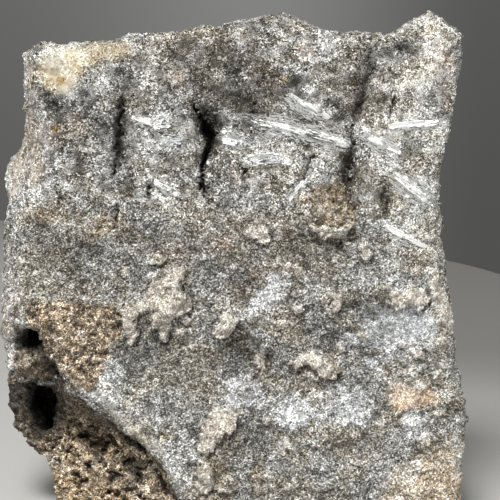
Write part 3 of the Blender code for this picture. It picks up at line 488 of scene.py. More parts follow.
class Value:
    """An output socket whose arithmetic adds Math nodes to its tree."""

    def __init__(self, maker, socket):
        self.maker = maker
        self.socket = socket

    def math(self, operation, *others, clamp=False):
        """A Math node on this value and others."""
        inputs = dict(enumerate((self, *others)))
        return self.maker.add("ShaderNodeMath", {"operation": operation, "use_clamp": clamp}, inputs)[0]

    def __add__(self, other):
        return self.math("ADD", other)

    __radd__ = __add__

    def __sub__(self, other):
        return self.math("SUBTRACT", other)

    def __rsub__(self, other):
        return (self * -1.0) + other

    def __mul__(self, other):
        return self.math("MULTIPLY", other)

    __rmul__ = __mul__

    def __pow__(self, other):
        return self.math("POWER", other)

    def clamped(self):
        """This value held between 0 and 1."""
        return self.math("ADD", 0.0, clamp=True)

    def step(self, low, high):
        """Rise smoothly from 0 at low to 1 at high."""
        settings = {"interpolation_type": "SMOOTHSTEP"}
        inputs = {"Value": self, "From Min": low, "From Max": high}
        return self.maker.add("ShaderNodeMapRange", settings, inputs)["Result"]


class Outputs:
    """The outputs of a node, by name or number."""

    def __init__(self, maker, node):
        self.maker = maker
        self.node = node

    def __getitem__(self, key):
        return Value(self.maker, self.node.outputs[key])


class Maker:
    """Adds nodes to a shader or geometry tree."""

    def __init__(self, tree):
        self.tree = tree

    def add(self, kind, settings=None, inputs=None):
        """A node of a kind, its settings made first, then its sockets' values or links."""
        node = self.tree.nodes.new(kind)
        for name, setting in (settings or {}).items():
            if name == "stops":
                set_ramp(node.color_ramp, setting)
            else:
                setattr(node, name, setting)
        for key, value in (inputs or {}).items():
            if isinstance(value, Value):
                self.tree.links.new(value.socket, node.inputs[key])
            else:
                node.inputs[key].default_value = value
        return Outputs(self, node)

    def mix(self, factor, first, second, blend="MIX"):
        """A colour mix of two colours or values."""
        settings = {"data_type": "RGBA", "blend_type": blend, "clamp_factor": True}
        return self.add("ShaderNodeMix", settings, {0: factor, 6: first, 7: second})[2]

    def vector(self, operation, first, second=None, scale=None):
        """A Vector Math node."""
        inputs = {0: first}
        if second is not None:
            inputs[1] = second
        if scale is not None:
            inputs["Scale"] = scale
        return self.add("ShaderNodeVectorMath", {"operation": operation}, inputs)[0]

    def noise(self, place, size, detail=2.0, output="Fac"):
        """Smooth noise with lumps of a size in the place's own unit."""
        inputs = {"Vector": place, "Scale": 1.0 / size, "Detail": detail}
        return self.add("ShaderNodeTexNoise", None, inputs)[output]

    def cells(self, place, size):
        """Irregular cells of a size: their random colours and the distance to their middles."""
        return self.add("ShaderNodeTexVoronoi", None, {"Vector": place, "Scale": 1.0 / size})

    def attribute(self, name, output="Fac"):
        """A named attribute of the mesh."""
        return self.add("ShaderNodeAttribute", {"attribute_name": name})[output]

    def split(self, colour):
        """A colour's red, green and blue."""
        return self.add("ShaderNodeSeparateColor", None, {"Color": colour})

    def brightness(self, colour):
        """How bright a colour is."""
        return self.add("ShaderNodeRGBToBW", None, {"Color": colour})[0]

    def join(self, red, green, blue):
        """The colour that three values make."""
        return self.add("ShaderNodeCombineColor", None, {"Red": red, "Green": green, "Blue": blue})["Color"]

    def axes(self, place):
        """A place's or a size's X, Y and Z."""
        return self.add("ShaderNodeSeparateXYZ", None, {0: place})

    def place(self, along_x, along_y, along_z):
        """The place or size that three values make."""
        return self.add("ShaderNodeCombineXYZ", None, {"X": along_x, "Y": along_y, "Z": along_z})[0]

    def mapped(self, place, **settings):
        """A place that is turned or scaled."""
        return self.add("ShaderNodeMapping", None, {"Vector": place, **settings})[0]

    def bump(self, strength, distance, height, **inputs):
        """A bumped normal; the distance is in millimetres."""
        inputs = {"Strength": strength, "Distance": distance * MM, "Height": height, **inputs}
        return self.add("ShaderNodeBump", None, inputs)["Normal"]


def set_ramp(ramp, stops):
    """Give a colour ramp its stops as (position, grey level) pairs."""
    while len(ramp.elements) > 1:
        ramp.elements.remove(ramp.elements[-1])
    for index, (position, level) in enumerate(stops):
        element = ramp.elements[0] if index == 0 else ramp.elements.new(position)
        element.position = position
        element.color = (level, level, level, 1.0)


def opaque(colour):
    """A colour with full alpha."""
    return (*colour, 1.0)


def new_material(name):
    """A material with an empty node tree and a maker for it."""
    material = bpy.data.materials.new(name)
    material.use_nodes = True
    material.node_tree.nodes.clear()
    return material, Maker(material.node_tree)


def finish_material(maker, sockets):
    """End a material's tree in a Principled shader."""
    shader = maker.add("ShaderNodeBsdfPrincipled", None, sockets)
    maker.add("ShaderNodeOutputMaterial", None, {"Surface": shader["BSDF"]})


def place_in_mm(maker):
    """Object coordinates in millimetres."""
    place = maker.add("ShaderNodeTexCoord")["Object"]
    return maker.mapped(place, Scale=(1 / MM, 1 / MM, 1 / MM))


def rock_material(name, finish, loose):
    """Salt-and-pepper quartz under stains, bloom and crusts; loose grains have one tone each."""
    material, maker = new_material(name)
    place = place_in_mm(maker)
    grain = finish.grain / MM

    # grains and crumbs, drawn out into laths where the rock is fibrous
    drift = maker.vector("SUBTRACT", maker.noise(place, 0.5, 2.0, "Color"), (0.5, 0.5, 0.5))
    bent = maker.vector("ADD", place, maker.vector("SCALE", drift, scale=CELL_DRIFT))
    laths = maker.mapped(bent, Rotation=(0.0, LATH_SLANT, 0.0), Scale=LATH_STRETCH)
    fibrous = (maker.attribute("fibrous") + (maker.noise(place, 1.6) - 0.5) * 1.4).step(0.42, 0.62)
    bent = maker.add("ShaderNodeMix", {"data_type": "VECTOR"}, {0: fibrous, 4: bent, 5: laths})[1]
    grains = maker.cells(bent, grain)
    crumbs = maker.cells(bent, grain * CRUMB_SHARE)
    specks = maker.split(maker.cells(place, grain * SPECK_SHARE)["Color"])
    grain_random = maker.split(grains["Color"])
    crumb_random = maker.split(crumbs["Color"])
    broad = maker.noise(place, 2.6, 4.0)
    middle = maker.noise(place, 0.9, 3.0)
    small = maker.noise(place, 0.36, 2.0)
    own = maker.attribute("grain_tone") if loose else grain_random["Red"]

    # what covers them, with ragged edges
    edge_noise = (small - 0.5) * 0.9 + (crumb_random["Green"] - 0.5) * 0.22
    crust = (maker.attribute("crust") + edge_noise).step(-0.06, 0.08)
    stain = (maker.attribute("stain") + edge_noise * 1.6).step(-0.12, 0.14)
    calm = maker.attribute("calm").math("MAXIMUM", crust * 0.6)
    crust_rim = maker.attribute("crust").step(0.5, 0.1)
    porous = maker.attribute("porous").math("MAXIMUM", stain)
    frost = (maker.attribute("frost") + (grain_random["Green"] - 0.5) * 0.4 + (middle - 0.5) * 1.2
             + (broad - 0.5) * 0.6).step(0.22, 0.85)

    # how bright each grain is, with the painted shade that the level attribute carries beside the crusts and
    # in the clefts
    mixed = (own * 0.36 + crumb_random["Red"] * 0.64 + 0.01 + (broad - 0.5) * 0.66 + (middle - 0.5) * 0.62
             + maker.attribute("level") + frost * 0.07)
    upper = maker.attribute("fibrous").step(0.0, 0.3) * (1.0 - calm * 1.8).clamped()
    patches = maker.noise(place, 1.5, 2.0).step(0.3, 0.7)
    mixed = mixed - 0.01 + upper * ((mixed - 0.5) * 0.3 + (middle - 0.5) * 0.25 + (patches - 0.5) * 0.26)
    stops = [(spot, level / SALT_SCALE) for spot, level in SALT]
    ramp = maker.add("ShaderNodeValToRGB", {"stops": stops}, {"Fac": mixed})
    salt_level = maker.brightness(ramp["Color"]) * SALT_SCALE
    even = 0.62 + crumb_random["Red"] * 0.34 + own * 0.2 + (small - 0.5) * 0.8
    tones = salt_level + (even - salt_level) * (calm * 0.85 + frost * 0.34).clamped()
    # painted shade of pores: the porous stain and the broken corner darken in noise spots
    pits = (small * 0.52 + middle * 0.48).step(0.42, 0.56)
    tones = tones * (1.0 + porous * 0.14 - porous * (1.0 - pits) * 0.72)
    bright = specks["Red"].step(0.87, 0.9) * (1.0 - calm * 0.85) * (1.0 - frost * 0.4) * 0.65
    deep = specks["Red"].step(0.25, 0.21) * (1.0 - calm * 0.65) * (1.0 - frost * 0.25) * 0.68
    tones = tones * (1.0 + bright - deep)
    level = maker.join(tones, tones, tones)

    # colour: the kept tint under stain, crusts and bloom; pale grains lose it and dark ones turn brown
    warmer, cooler = (1.05, 1.0, 0.88, 1.0), (0.95, 1.0, 1.07, 1.0)
    tint = maker.mix(maker.noise(place, 3.3, 3.0).step(0.38, 0.62), warmer, cooler)
    tint = maker.mix(1.0, maker.attribute("tint", "Color"), tint, "MULTIPLY")
    tint = maker.mix(stain * STAIN_SHARE, tint, opaque(finish.porous))
    pale_crust = maker.mix(crust_rim, opaque(finish.crust), opaque(finish.crust_rim))
    tint = maker.mix(crust, tint, pale_crust)
    tint = maker.mix(frost * BLOOM_SHARE * (1.0 - crust), tint, opaque(finish.frost))
    grey = maker.brightness(tint)
    grey = maker.join(grey * 0.985, grey, grey * 1.005)
    bleached = salt_level.step(0.7, 2.4) * (1.0 - porous * 0.75) * (1.0 - calm * 0.7) * 0.9
    tint = maker.mix(bleached, tint, grey)
    colour = maker.mix(1.0, tint, level, "MULTIPLY")
    browned = (1.0 - salt_level.step(0.2, 1.2)) * 0.42 + (crumb_random["Blue"] - 0.5) * 0.45 - frost * 0.4
    white, brown = (1.0, 1.0, 1.0, 1.0), (1.0, 0.88, 0.72, 1.0)
    warm = maker.mix(browned, white, brown)
    colour = maker.mix(1.0, colour, warm, "MULTIPLY")
    silver = (maker.attribute("silver") + (grain_random["Green"] - 0.5) * 0.9).step(0.5, 0.75)
    sheen = maker.mix(1.0, level, DUST_SHEEN, "MULTIPLY")
    colour = maker.mix(silver * DUST_SHARE, colour, maker.mix(0.75, DUST_TONE, sheen))

    # each grain is turned its own way, and some glint
    jitter = maker.vector("SUBTRACT", maker.vector("ADD", grains["Color"], crumbs["Color"]), (1.0, 1.0, 1.0))
    facing = maker.add("ShaderNodeNewGeometry")["Normal"]
    jitter = maker.vector("SCALE", jitter, scale=LOOSE_TURN if loose else FIXED_TURN)
    turned = maker.vector("ADD", facing, jitter)
    turned = maker.vector("NORMALIZE", turned)
    height = crumbs["Distance"] * -0.5 + small * 1.1
    bump = maker.bump(0.55, 0.1, height, Normal=turned)
    glint = grain_random["Green"].step(0.86, 0.9) * (1.0 - calm)
    finish_material(maker, {
        "Base Color": colour, "Roughness": 0.74 - silver * 0.36 - glint * 0.42, "Metallic": silver * 0.4,
        "Normal": bump})
    return material


def tellurium_material(finish):
    """Bright metal with striations along each blade; some blades are dull."""
    material, maker = new_material("tellurium")
    place = maker.attribute("blade_place", "Vector")
    shade = maker.attribute("blade_shade")
    lines = maker.mapped(place, Scale=(5.0, 5.0, 6.0))
    striae = maker.noise(lines, 1.0, 3.0)
    spots = maker.noise(place_in_mm(maker), 0.32, 3.0)
    dull = (shade + (striae - 0.5) * 1.5 + (spots - 0.5) * 1.9).step(0.55, 0.95)
    colour = maker.mix(dull, opaque(finish.metal), opaque(finish.tarnish))
    bump = maker.bump(0.5, 0.04, striae)
    finish_material(maker, {
        "Base Color": colour, "Roughness": 0.4 + dull * 0.3, "Metallic": 0.4, "Normal": bump})
    return material


def smooth_step(low, high, value):
    """Rise smoothly from 0 at low to 1 at high."""
    share = np.clip((value - low) / (high - low), 0.0, 1.0)
    return share * share * (3.0 - 2.0 * share)


def lumps(points, size, seed):
    """Smooth noise at points in millimetres, between about -1 and 1, with lumps of a size."""
    shift = Vector((17.3 * seed, -9.1 * seed, 5.7 * seed))
    return np.array([noise.noise(Vector(point) / size + shift) for point in points])


def chips(points, size, seed):
    """Flat tilted chips with sharp steps between them, about -0.5 to 0.5 high, for points in millimetres."""
    shift = Vector((-7.7 * seed, 13.1 * seed, 3.9 * seed))
    heights = np.empty(len(points))
    for index, point in enumerate(points):
        spot = Vector(point) / size + shift
        middle = noise.voronoi(spot)[1][0]
        tilt = noise.cell_vector(middle * 9.0)
        away = spot - middle
        heights[index] = (tilt.x - 0.5) * 0.7 + away.x * (tilt.y - 0.5) + away.z * (tilt.z - 0.5)
    return heights


def small_flakes(points, size, share, seed):
    """How far each point in millimetres lies inside scattered small flakes; negative outside them."""
    shift = Vector((3.1 * seed, 8.7 * seed, -6.3 * seed))
    reach = np.empty(len(points))
    for index, point in enumerate(points):
        distances, middles = noise.voronoi(Vector(point) / size + shift)
        chosen = noise.cell_vector(middles[0] * 9.0).x < share
        reach[index] = (distances[1] - distances[0]) * size * 0.5 - 0.12 if chosen else -0.5
    return reach


def route_profile(x, z, route):
    """For points on the face, 1 on a route's middle line and 0 outside its half width."""
    profile = np.zeros(len(x))
    for (x0, z0, w0), (x1, z1, w1) in zip(route, route[1:]):
        span = np.array([x1 - x0, z1 - z0])
        along = np.clip(((x - x0) * span[0] + (z - z0) * span[1]) / span.dot(span), 0.0, 1.0)
        distance = np.hypot(x - x0 - along * span[0], z - z0 - along * span[1])
        half_width = w0 + along * (w1 - w0)
        profile = np.maximum(profile, np.clip(1.0 - distance / half_width, 0.0, 1.0))
    return profile


def reach_inside(x, z, outline):
    """How far in millimetres each point lies inside an outline on the face; negative outside it."""
    nearest = np.full(len(x), np.inf)
    inside = np.zeros(len(x), bool)
    for (x0, z0), (x1, z1) in zip(outline, outline[1:] + outline[:1]):
        span = np.array([x1 - x0, z1 - z0])
        along = np.clip(((x - x0) * span[0] + (z - z0) * span[1]) / span.dot(span), 0.0, 1.0)
        nearest = np.minimum(nearest, np.hypot(x - x0 - along * span[0], z - z0 - along * span[1]))
        if z0 != z1:
            crossing = x0 + (z - z0) * (x1 - x0) / (z1 - z0)
            inside ^= ((z0 > z) != (z1 > z)) & (x < crossing)
    return np.where(inside, nearest, -nearest)


def cloud_weight(x, z, cloud):
    """A flat-topped cloud: its strength in the middle, falling away past its radii."""
    cx, cz, rx, rz, turn, strength = cloud
    angle = math.radians(turn)
    along = ((x - cx) * math.cos(angle) + (z - cz) * math.sin(angle)) / rx
    across = ((z - cz) * math.cos(angle) - (x - cx) * math.sin(angle)) / rz
    reach = along * along + across * across
    return strength * np.exp(-0.9 * reach * np.sqrt(reach + 0.01))


def strongest(x, z, clouds):
    """The strongest of several clouds at each point, and the turn in degrees of the one that is."""
    weights = np.array([cloud_weight(x, z, cloud) for cloud in clouds.values()])
    turns = np.array([cloud[4] for cloud in clouds.values()])
    return weights.max(axis=0), turns[weights.argmax(axis=0)]


def below_rim(x, z):
    """How far in millimetres a point lies below and left of the rim; negative above it."""
    rim_x, rim_z = np.array(RIM).T
    return np.interp(x, rim_x, rim_z, left=24.0, right=-6.0) - z


def vertex_arrays(mesh):
    """A mesh's vertex places in millimetres and its outward directions, as arrays."""
    count = len(mesh.vertices)
    places = np.empty(count * 3)
    outward = np.empty(count * 3)
    mesh.vertices.foreach_get("co", places)
    mesh.vertex_normals.foreach_get("vector", outward)
    return places.reshape(count, 3) / MM, outward.reshape(count, 3)


def set_places(mesh, places):
    """Write vertex places in millimetres back to a mesh."""
    mesh.vertices.foreach_set("co", (places * MM).ravel())
    mesh.update()


def store(mesh, name, values):
    """Keep a number, or the three of a colour or direction, for each vertex."""
    values = np.asarray(values, np.float32)
    if values.ndim == 1:
        mesh.attributes.new(name, "FLOAT", "POINT").data.foreach_set("value", values)
    elif name == "tint":
        colours = np.hstack([values, np.ones((len(values), 1), np.float32)])
        mesh.attributes.new(name, "FLOAT_COLOR", "POINT").data.foreach_set("color", colours.ravel())
    else:
        mesh.attributes.new(name, "FLOAT_VECTOR", "POINT").data.foreach_set("vector", values.ravel())


def mesh_object(name, mesh):
    """An object for a mesh that is already in its place."""
    made = bpy.data.objects.new(name, mesh)
    bpy.context.scene.collection.objects.link(made)
    return made


def close_mesh(work, name):
    """The named mesh that a working mesh becomes."""
    mesh = bpy.data.meshes.new(name)
    work.to_mesh(mesh)
    work.free()
    return mesh


def settled_mesh(source):
    """The plain mesh that an object's modifiers make."""
    depsgraph = bpy.context.evaluated_depsgraph_get()
    depsgraph.update()
    return bpy.data.meshes.new_from_object(source.evaluated_get(depsgraph))


def add_seat_plug(work, node):
    """A block that fills the imprint behind a bundle of blades, up to the rock's level."""
    flush, behind, beside = 0.3 * MM, 1.2 * MM, 0.5 * MM
    points = []
    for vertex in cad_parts[node].data.vertices:
        for dx in (-beside, beside):
            for dz in (-beside, beside):
                for dy in (flush, behind):
                    points.append(work.verts.new(vertex.co + Vector((dx, dy, dz))))
    hull = bmesh.ops.convex_hull(work, input=points)
    inner = set(hull["geom_interior"]) | set(hull["geom_unused"])
    loose = [part for part in inner if isinstance(part, bmesh.types.BMVert)]
    bmesh.ops.delete(work, geom=loose, context="VERTS")


def refine_front(mesh):
    """Cut each cell of the face, the broken corner and the near sides into nine."""
    work = bmesh.new()
    work.from_mesh(mesh)
    work.normal_update()
    near = (FACE_Y + FINE_DEPTH) * MM
    fine = [face for face in work.faces if face.calc_center_median().y < near and face.normal.y < FINE_FACING]
    edges = list({edge for face in fine for edge in face.edges})
    bmesh.ops.subdivide_edges(work, edges=edges, cuts=2, use_grid_fill=True)
    bmesh.ops.triangulate(work, faces=[face for face in work.faces if len(face.verts) > 4])
    work.to_mesh(mesh)
    work.free()


def rock_block(cell):
    """The rock's solid with its seats filled, as an even mesh that is finer on the face."""
    work = bmesh.new()
    work.from_mesh(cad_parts[ROCK_NODE].data)
    bmesh.ops.remove_doubles(work, verts=work.verts, dist=SAME_PLACE)
    for node in BUNDLES:
        add_seat_plug(work, node)
    bmesh.ops.recalc_face_normals(work, faces=work.faces)
    block = mesh_object("rock_block", close_mesh(work, "rock_block"))
    even = block.modifiers.new("even_cells", "REMESH")
    even.mode = "VOXEL"
    even.voxel_size = cell
    fine = settled_mesh(block)
    bpy.data.objects.remove(block, do_unlink=True)
    refine_front(fine)
    return fine


def sunk_share(x, y, z):
    """1 in the broken corner at the lower left, 0 on the rest of the rock."""
    behind = y - FACE_Y
    near_side = smooth_step(-24.9, -24.2, x) + smooth_step(17.5, 16.5, z)
    corner = smooth_step(-0.5, 0.1, below_rim(x, z)) * np.clip(near_side, 0.0, 1.0)
    return corner * smooth_step(0.5, 1.2, behind) * smooth_step(16.0, 13.0, behind)


def roughen(mesh, scale):
    """Press grains, chips, crusts, pits and crack cores into the rock's surface."""
    places, outward = vertex_arrays(mesh)
    x, y, z = places.T
    behind, towards = y - FACE_Y, -outward[:, 1]
    facing = smooth_step(*FACING, towards)
    sunk = sunk_share(x, y, z) * smooth_step(-0.6, 0.0, towards)
    face = facing * (1.0 - sunk) * smooth_step(*FACE_BEHIND, behind)

    # grains, chips and low terraces all over; the numbers are millimetres
    tiny = lumps(places, 0.34, 1)
    small = lumps(places, 0.8, 2)
    middle = lumps(places, 2.2, 3)
    large = lumps(places, 5.2, 4)
    broken = chips(places, 1.5, 5)
    crumbly = chips(places, 0.62, 6)
    low = smooth_step(*LOW_FACE, z)
    height = GRAIN_RELIEF * tiny + SMALL_RELIEF * small + (LUMP_RELIEF + LOW_LUMPS * low) * middle
    height = height + (CHIP_RELIEF + LOW_CHIPS * low) * broken + CRUMB_RELIEF * crumbly
    level = large * 2.6 + middle * 0.9 + z * 0.06 - x * 0.11
    terrace = level - np.floor(level)
    rise = smooth_step(0.0, 0.16, terrace) * (1.0 - terrace) * TERRACE_HEIGHT
    height += rise * (0.3 + 0.7 * smooth_step(38.0, 30.0, z))
    wx = x + 0.34 * small + 0.26 * tiny
    wz = z + 0.34 * lumps(places, 0.75, 7) + 0.26 * lumps(places, 0.33, 8)
    silver, _ = strongest(x, z, SILVER_CLOUDS)
    height *= 1.0 - 0.45 * np.clip(silver, 0.0, 1.0) * face

    # crusts with shaded edges, small scattered flakes, the tan slab and the stepped plates
    crust = np.full(len(x), -1.0)
    lee = np.zeros(len(x))
    ragged = 0.15 * lumps(places, 1.3, 9)
    for name, (thickness, outline) in CRUSTS.items():
        reach = reach_inside(wx, wz, outline) + ragged
        raised = smooth_step(-0.06, 0.06, reach)
        height += face * raised * (thickness * (1.5 + 0.6 * small + 0.6 * tiny) - 0.1 * broken)
        if name != "tan_ledge":
            crust = np.maximum(crust, reach)
            below = smooth_step(-0.1, 0.15, reach_inside(wx - 0.4, wz + 0.35, outline) + ragged)
            lee = np.maximum(lee, below * (1.0 - raised))
    scattered = small_flakes(np.column_stack([wx, y, wz]), 1.3, 0.06, 14) - 0.8 * smooth_step(30.0, 40.0, z)
    crust = np.maximum(crust, scattered)
    height += FLAKE_HEIGHT * face * smooth_step(-0.06, 0.06, scattered)
    slab = face * smooth_step(-0.3, 0.3, reach_inside(wx, wz, CRUSTS["tan_ledge"][1]))
    height += slab * (0.35 * broken + 0.4 * crumbly - 0.1)
    for rise, outline in PLATES.values():
        height += face * rise * smooth_step(-0.08, 0.08, reach_inside(wx, wz, outline))
    height -= LEE_DEPTH * face * lee
    height += (1.0 - facing) * (SIDE_CHIPS * chips(places, 4.6, 13) - 0.35) * (1.0 - sunk)

    # pits in the porous stain and in the broken corner
    stain = reach_inside(wx, wz, POROUS_STAIN)
    porous = smooth_step(-0.5, 0.3, stain) * face
    pits = smooth_step(0.0, 0.4, lumps(places, 0.7, 10)) + 0.6 * smooth_step(0.1, 0.5, small)
    pitted = np.clip(porous * 1.3 + 1.4 * sunk * (0.3 + 0.7 * facing), 0.0, 1.4)
    height -= pitted * PIT_DEPTH * pits
    on_ledge = smooth_step(-0.5, 0.5, reach_inside(wx, wz, STAINS["ledge_floor"][3]))
    on_block = smooth_step(-0.6, 0.4, reach_inside(x, z, STAINS["inner_block"][3]))
    streaky = places @ np.array([[0.40, 0.0, 0.71], [0.0, 0.8, 0.0], [-0.40, 0.0, 0.71]])
    broken_up = 0.45 * lumps(streaky, 1.5, 11) + 0.8 * crumbly + 0.3 * small + 0.25 * tiny
    craters = smooth_step(-0.02, 0.26, broken_up) * (0.2 + 0.8 * on_ledge) * (1.0 - on_block)
    craters = craters * smooth_step(0.2, 0.6, towards)
    uneven = (0.3 * lumps(places, 2.6, 12) + 0.4 * broken * facing) * (1.0 - 0.6 * on_block)
    height += sunk * (uneven - craters)
    from_middle = np.hypot(x - BLOCK_MIDDLE[0], z - BLOCK_MIDDLE[1])
    height += sunk * BLOCK_SWELLING * on_block * smooth_step(2.6, 0.4, from_middle)

    # the jagged horn, the clefts and the pockets
    jagged = face * smooth_step(*HORN_UP, z) * smooth_step(*HORN_ACROSS, x)
    height += jagged * (HORN_CHIPS * broken + HORN_CRUMBS * crumbly)
    depth = np.zeros(len(x))
    ragged_x, ragged_z = x + 0.4 * small + 0.35 * tiny + 0.2 * crumbly, z + 0.4 * tiny
    for deepest, route in CLEFT_CORES.values():
        depth += face * deepest * route_profile(ragged_x, ragged_z, route) ** 0.7
    for deepest, route in POCKETS.values():
        depth += sunk * deepest * route_profile(x + 0.4 * small, z + 0.3 * tiny, route) ** 0.8

    # the foot stays flat and the top keeps its outline; x, y and z follow the places from here on
    foot = smooth_step(*FOOT_UP, z)
    places += outward * (height * scale * (0.15 + 0.85 * foot))[:, None]
    places[:, 1] += depth
    trim_x, trim_drop = np.array(TOP_TRIM).T
    drop = np.interp(x, trim_x, trim_drop) * smooth_step(*TOP_UP, z)
    places[:, 2] -= drop * smooth_step(*TOP_BEHIND, y - FACE_Y)
    places[:, 2] = np.maximum(places[:, 2], 0.0)
    set_places(mesh, places)
    hidden = 1.0 - face
    return {
        "crust": np.clip(crust, -1.0, 1.0) - 2.0 * hidden, "stain": np.clip(stain, -1.0, 1.0) - 2.0 * hidden,
        "sunk": sunk, "craters": craters * sunk, "cut": depth, "lee": lee * face}


def paint(mesh, worn, finish):
    """Keep the rock's stains, bloom, crusts and tellurium dusting as attributes of its mesh."""
    places, outward = vertex_arrays(mesh)
    x, y, z = places.T
    front = smooth_step(-0.05, 0.3, -outward[:, 1]) * smooth_step(16.0, 12.0, y - FACE_Y)
    sunk = worn["sunk"]
    wide = lumps(places, 2.4, 21)
    fine = lumps(places, 0.8, 22)
    tiny = lumps(places, 0.4, 23)
    wx = x + 0.6 * wide + 0.4 * fine + 0.2 * tiny
    wz = z + 0.6 * lumps(places, 2.2, 24) + 0.4 * lumps(places, 0.7, 25)
    shares = {kind: strongest(wx, wz, clouds)[0] * front * (1.0 - sunk) for kind, clouds in CLOUDS.items()}

    # the hidden sides take random stains of the same kinds
    away = 1.0 - front
    broad, other, third = lumps(places, 9.0, 26), lumps(places, 7.0, 27), lumps(places, 5.0, 28)
    shares["pale"] += away * smooth_step(-0.1, 0.5, broad) * 0.75
    shares["dark"] += away * smooth_step(0.05, 0.5, -broad) * 0.5
    shares["brown"] += away * smooth_step(0.1, 0.45, other) * 0.5
    shares["tan"] += away * smooth_step(0.1, 0.45, third) * 0.7
    shares["frost"] += away * smooth_step(0.15, 0.5, -third) * 0.6
    shares["cream"] += away * smooth_step(0.3, 0.6, other * broad * 4.0) * 0.4
    tint = np.tile(np.array(finish.base), (len(x), 1))

    def lay(share, colour):
        """Lay a colour over the tint, its share from 0 to 1."""
        share = np.clip(share, 0.0, 1.0)[:, None]
        tint[:] = tint * (1.0 - share) + np.array(colour) * share

    # some dark clouds laid here are painted shade in the clefts, the groove and the notch
    for kind in ("pale", "brown", "dark", "pink", "tan", "cream"):
        rough = shares[kind] * (1.0 + 0.9 * fine + 0.7 * tiny)
        lay(rough, getattr(finish, kind))
    # the broken corner takes the wall colour: brown rock darkened with painted shade under the rim
    lay(sunk, finish.wall)
    calm = np.zeros(len(x))
    for kind, strength, softness, outline in STAINS.values():
        inside = smooth_step(-softness, softness, reach_inside(wx, wz, outline) + 0.25 * fine)
        inside = inside * strength * (sunk if kind in ("ledge", "block") else front * (1.0 - sunk))
        lay(inside, getattr(finish, kind))
        calm = np.maximum(calm, inside * CALMNESS.get(kind, 0.0))
    from_rim = np.abs(below_rim(x, z) + 0.4)
    rim = front * (1.0 - sunk) * smooth_step(1.1, 0.3, from_rim) * (x < -6.0) * (z < 17.5)
    lay(rim * 0.85, finish.pale)
    calm = np.maximum(calm, rim * 0.7)
    for kind in ("ochre", "sulphur"):
        lay(smooth_step(0.25, 0.6, shares[kind] + 0.3 * fine * (shares[kind] > 0.05)), getattr(finish, kind))

    # shade in the hollows, pits and clefts, and the pale edge of the inner block
    crusted = smooth_step(-0.1, 0.1, worn["crust"])
    bent_x, bent_z = x * 0.6 + wx * 0.4, z * 0.6 + wz * 0.4
    hollows = np.max([reach_inside(bent_x, bent_z, outline) for outline in HOLLOWS], axis=0)
    hollow = sunk * np.maximum(smooth_step(4.5, 8.0, y - FACE_Y), smooth_step(-0.3, 0.4, hollows))
    # painted shade: the crater pits of the broken corner are darkened
    lay(worn["craters"] * 0.85, PIT_SHADE)
    deep = worn["cut"] * (1.0 + 0.8 * tiny + 0.6 * fine)
    on_corner, on_face = 0.75 * smooth_step(0.4, 1.6, deep), 0.8 * smooth_step(1.3, 2.4, deep)
    shadow = hollow * 0.9 + np.where(sunk > 0.5, on_corner, on_face)
    lay(np.clip(shadow, 0.0, 0.92), DEEP_SHADE)
    edge = route_profile(x + 0.2 * fine, z + 0.2 * tiny, BLOCK_EDGE)
    lay(sunk * smooth_step(0.0, 0.5, edge) * 0.8, finish.pale)

    # tellurium dusting, brightness with painted shade beside the crusts and in the clefts, and calmness
    silver, turn = strongest(x * 0.65 + wx * 0.35, z * 0.65 + wz * 0.35, SILVER_CLOUDS)
    silver = silver * front * (1.0 - crusted)
    turn = np.radians(turn)
    level = 0.08 * shares["pale"] - 0.15 * shares["dark"] - 0.04 * shares["brown"] + 0.04 * wide
    # painted shade: darker on the lee side of each crust and along the cleft cores
    level -= 0.16 * worn["lee"] + 0.2 * smooth_step(0.05, 0.7, deep) * front
    calm = np.maximum(calm, 0.36 * shares["pale"] * smooth_step(10.0, 14.0, x))
    above = smooth_step(0.25, 0.8, z) * (1.0 - 0.5 * silver) * (1.0 - 0.85 * np.maximum(calm, crusted))
    kept = {
        "tint": tint, "level": level, "frost": np.clip(shares["frost"], 0.0, 1.0), "stain": worn["stain"],
        "crust": worn["crust"], "porous": sunk * 0.7, "calm": calm, "silver": silver,
        "fibrous": front * smooth_step(*BLADED_FACE, z) * (0.36 + 0.45 * silver),
        "streak": np.column_stack([np.cos(turn), np.zeros(len(x)), np.sin(turn)]),
        "face_grains": front * above, "side_grains": away * above,
        "sliver_density": smooth_step(0.3, 0.8, silver)}
    for name, values in kept.items():
        store(mesh, name, values)


def keep_as_piece(made, slot, *nodes):
    """Let a piece ride on the specimen and stand for its solids, which are hidden. The slot is not used."""
    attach(made, BODY)
    if nodes:
        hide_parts(*nodes)


def geometry_tree(name, numbers, whole=()):
    """A geometry tree with named inputs; returns the tree, its maker and its inputs as values."""
    tree = bpy.data.node_groups.new(name, "GeometryNodeTree")
    tree.interface.new_socket("Geometry", in_out="INPUT", socket_type="NodeSocketGeometry")
    for label in (*numbers, *whole, "Seed"):
        kind = "NodeSocketFloat" if label in numbers else "NodeSocketInt"
        tree.interface.new_socket(label, in_out="INPUT", socket_type=kind)
    tree.interface.new_socket("Geometry", in_out="OUTPUT", socket_type="NodeSocketGeometry")
    maker = Maker(tree)
    return tree, maker, maker.add("NodeGroupInput")


def run_tree(carrier, tree, values):
    """Run a geometry tree on an object with values for its named inputs; returns the plain mesh."""
    modifier = carrier.modifiers.new(tree.name, "NODES")
    modifier.node_group = tree
    for item in tree.interface.items_tree:
        if item.in_out == "INPUT" and item.name in values:
            modifier[item.identifier] = values[item.name]
    mesh = settled_mesh(carrier)
    carrier.modifiers.remove(modifier)
    return mesh


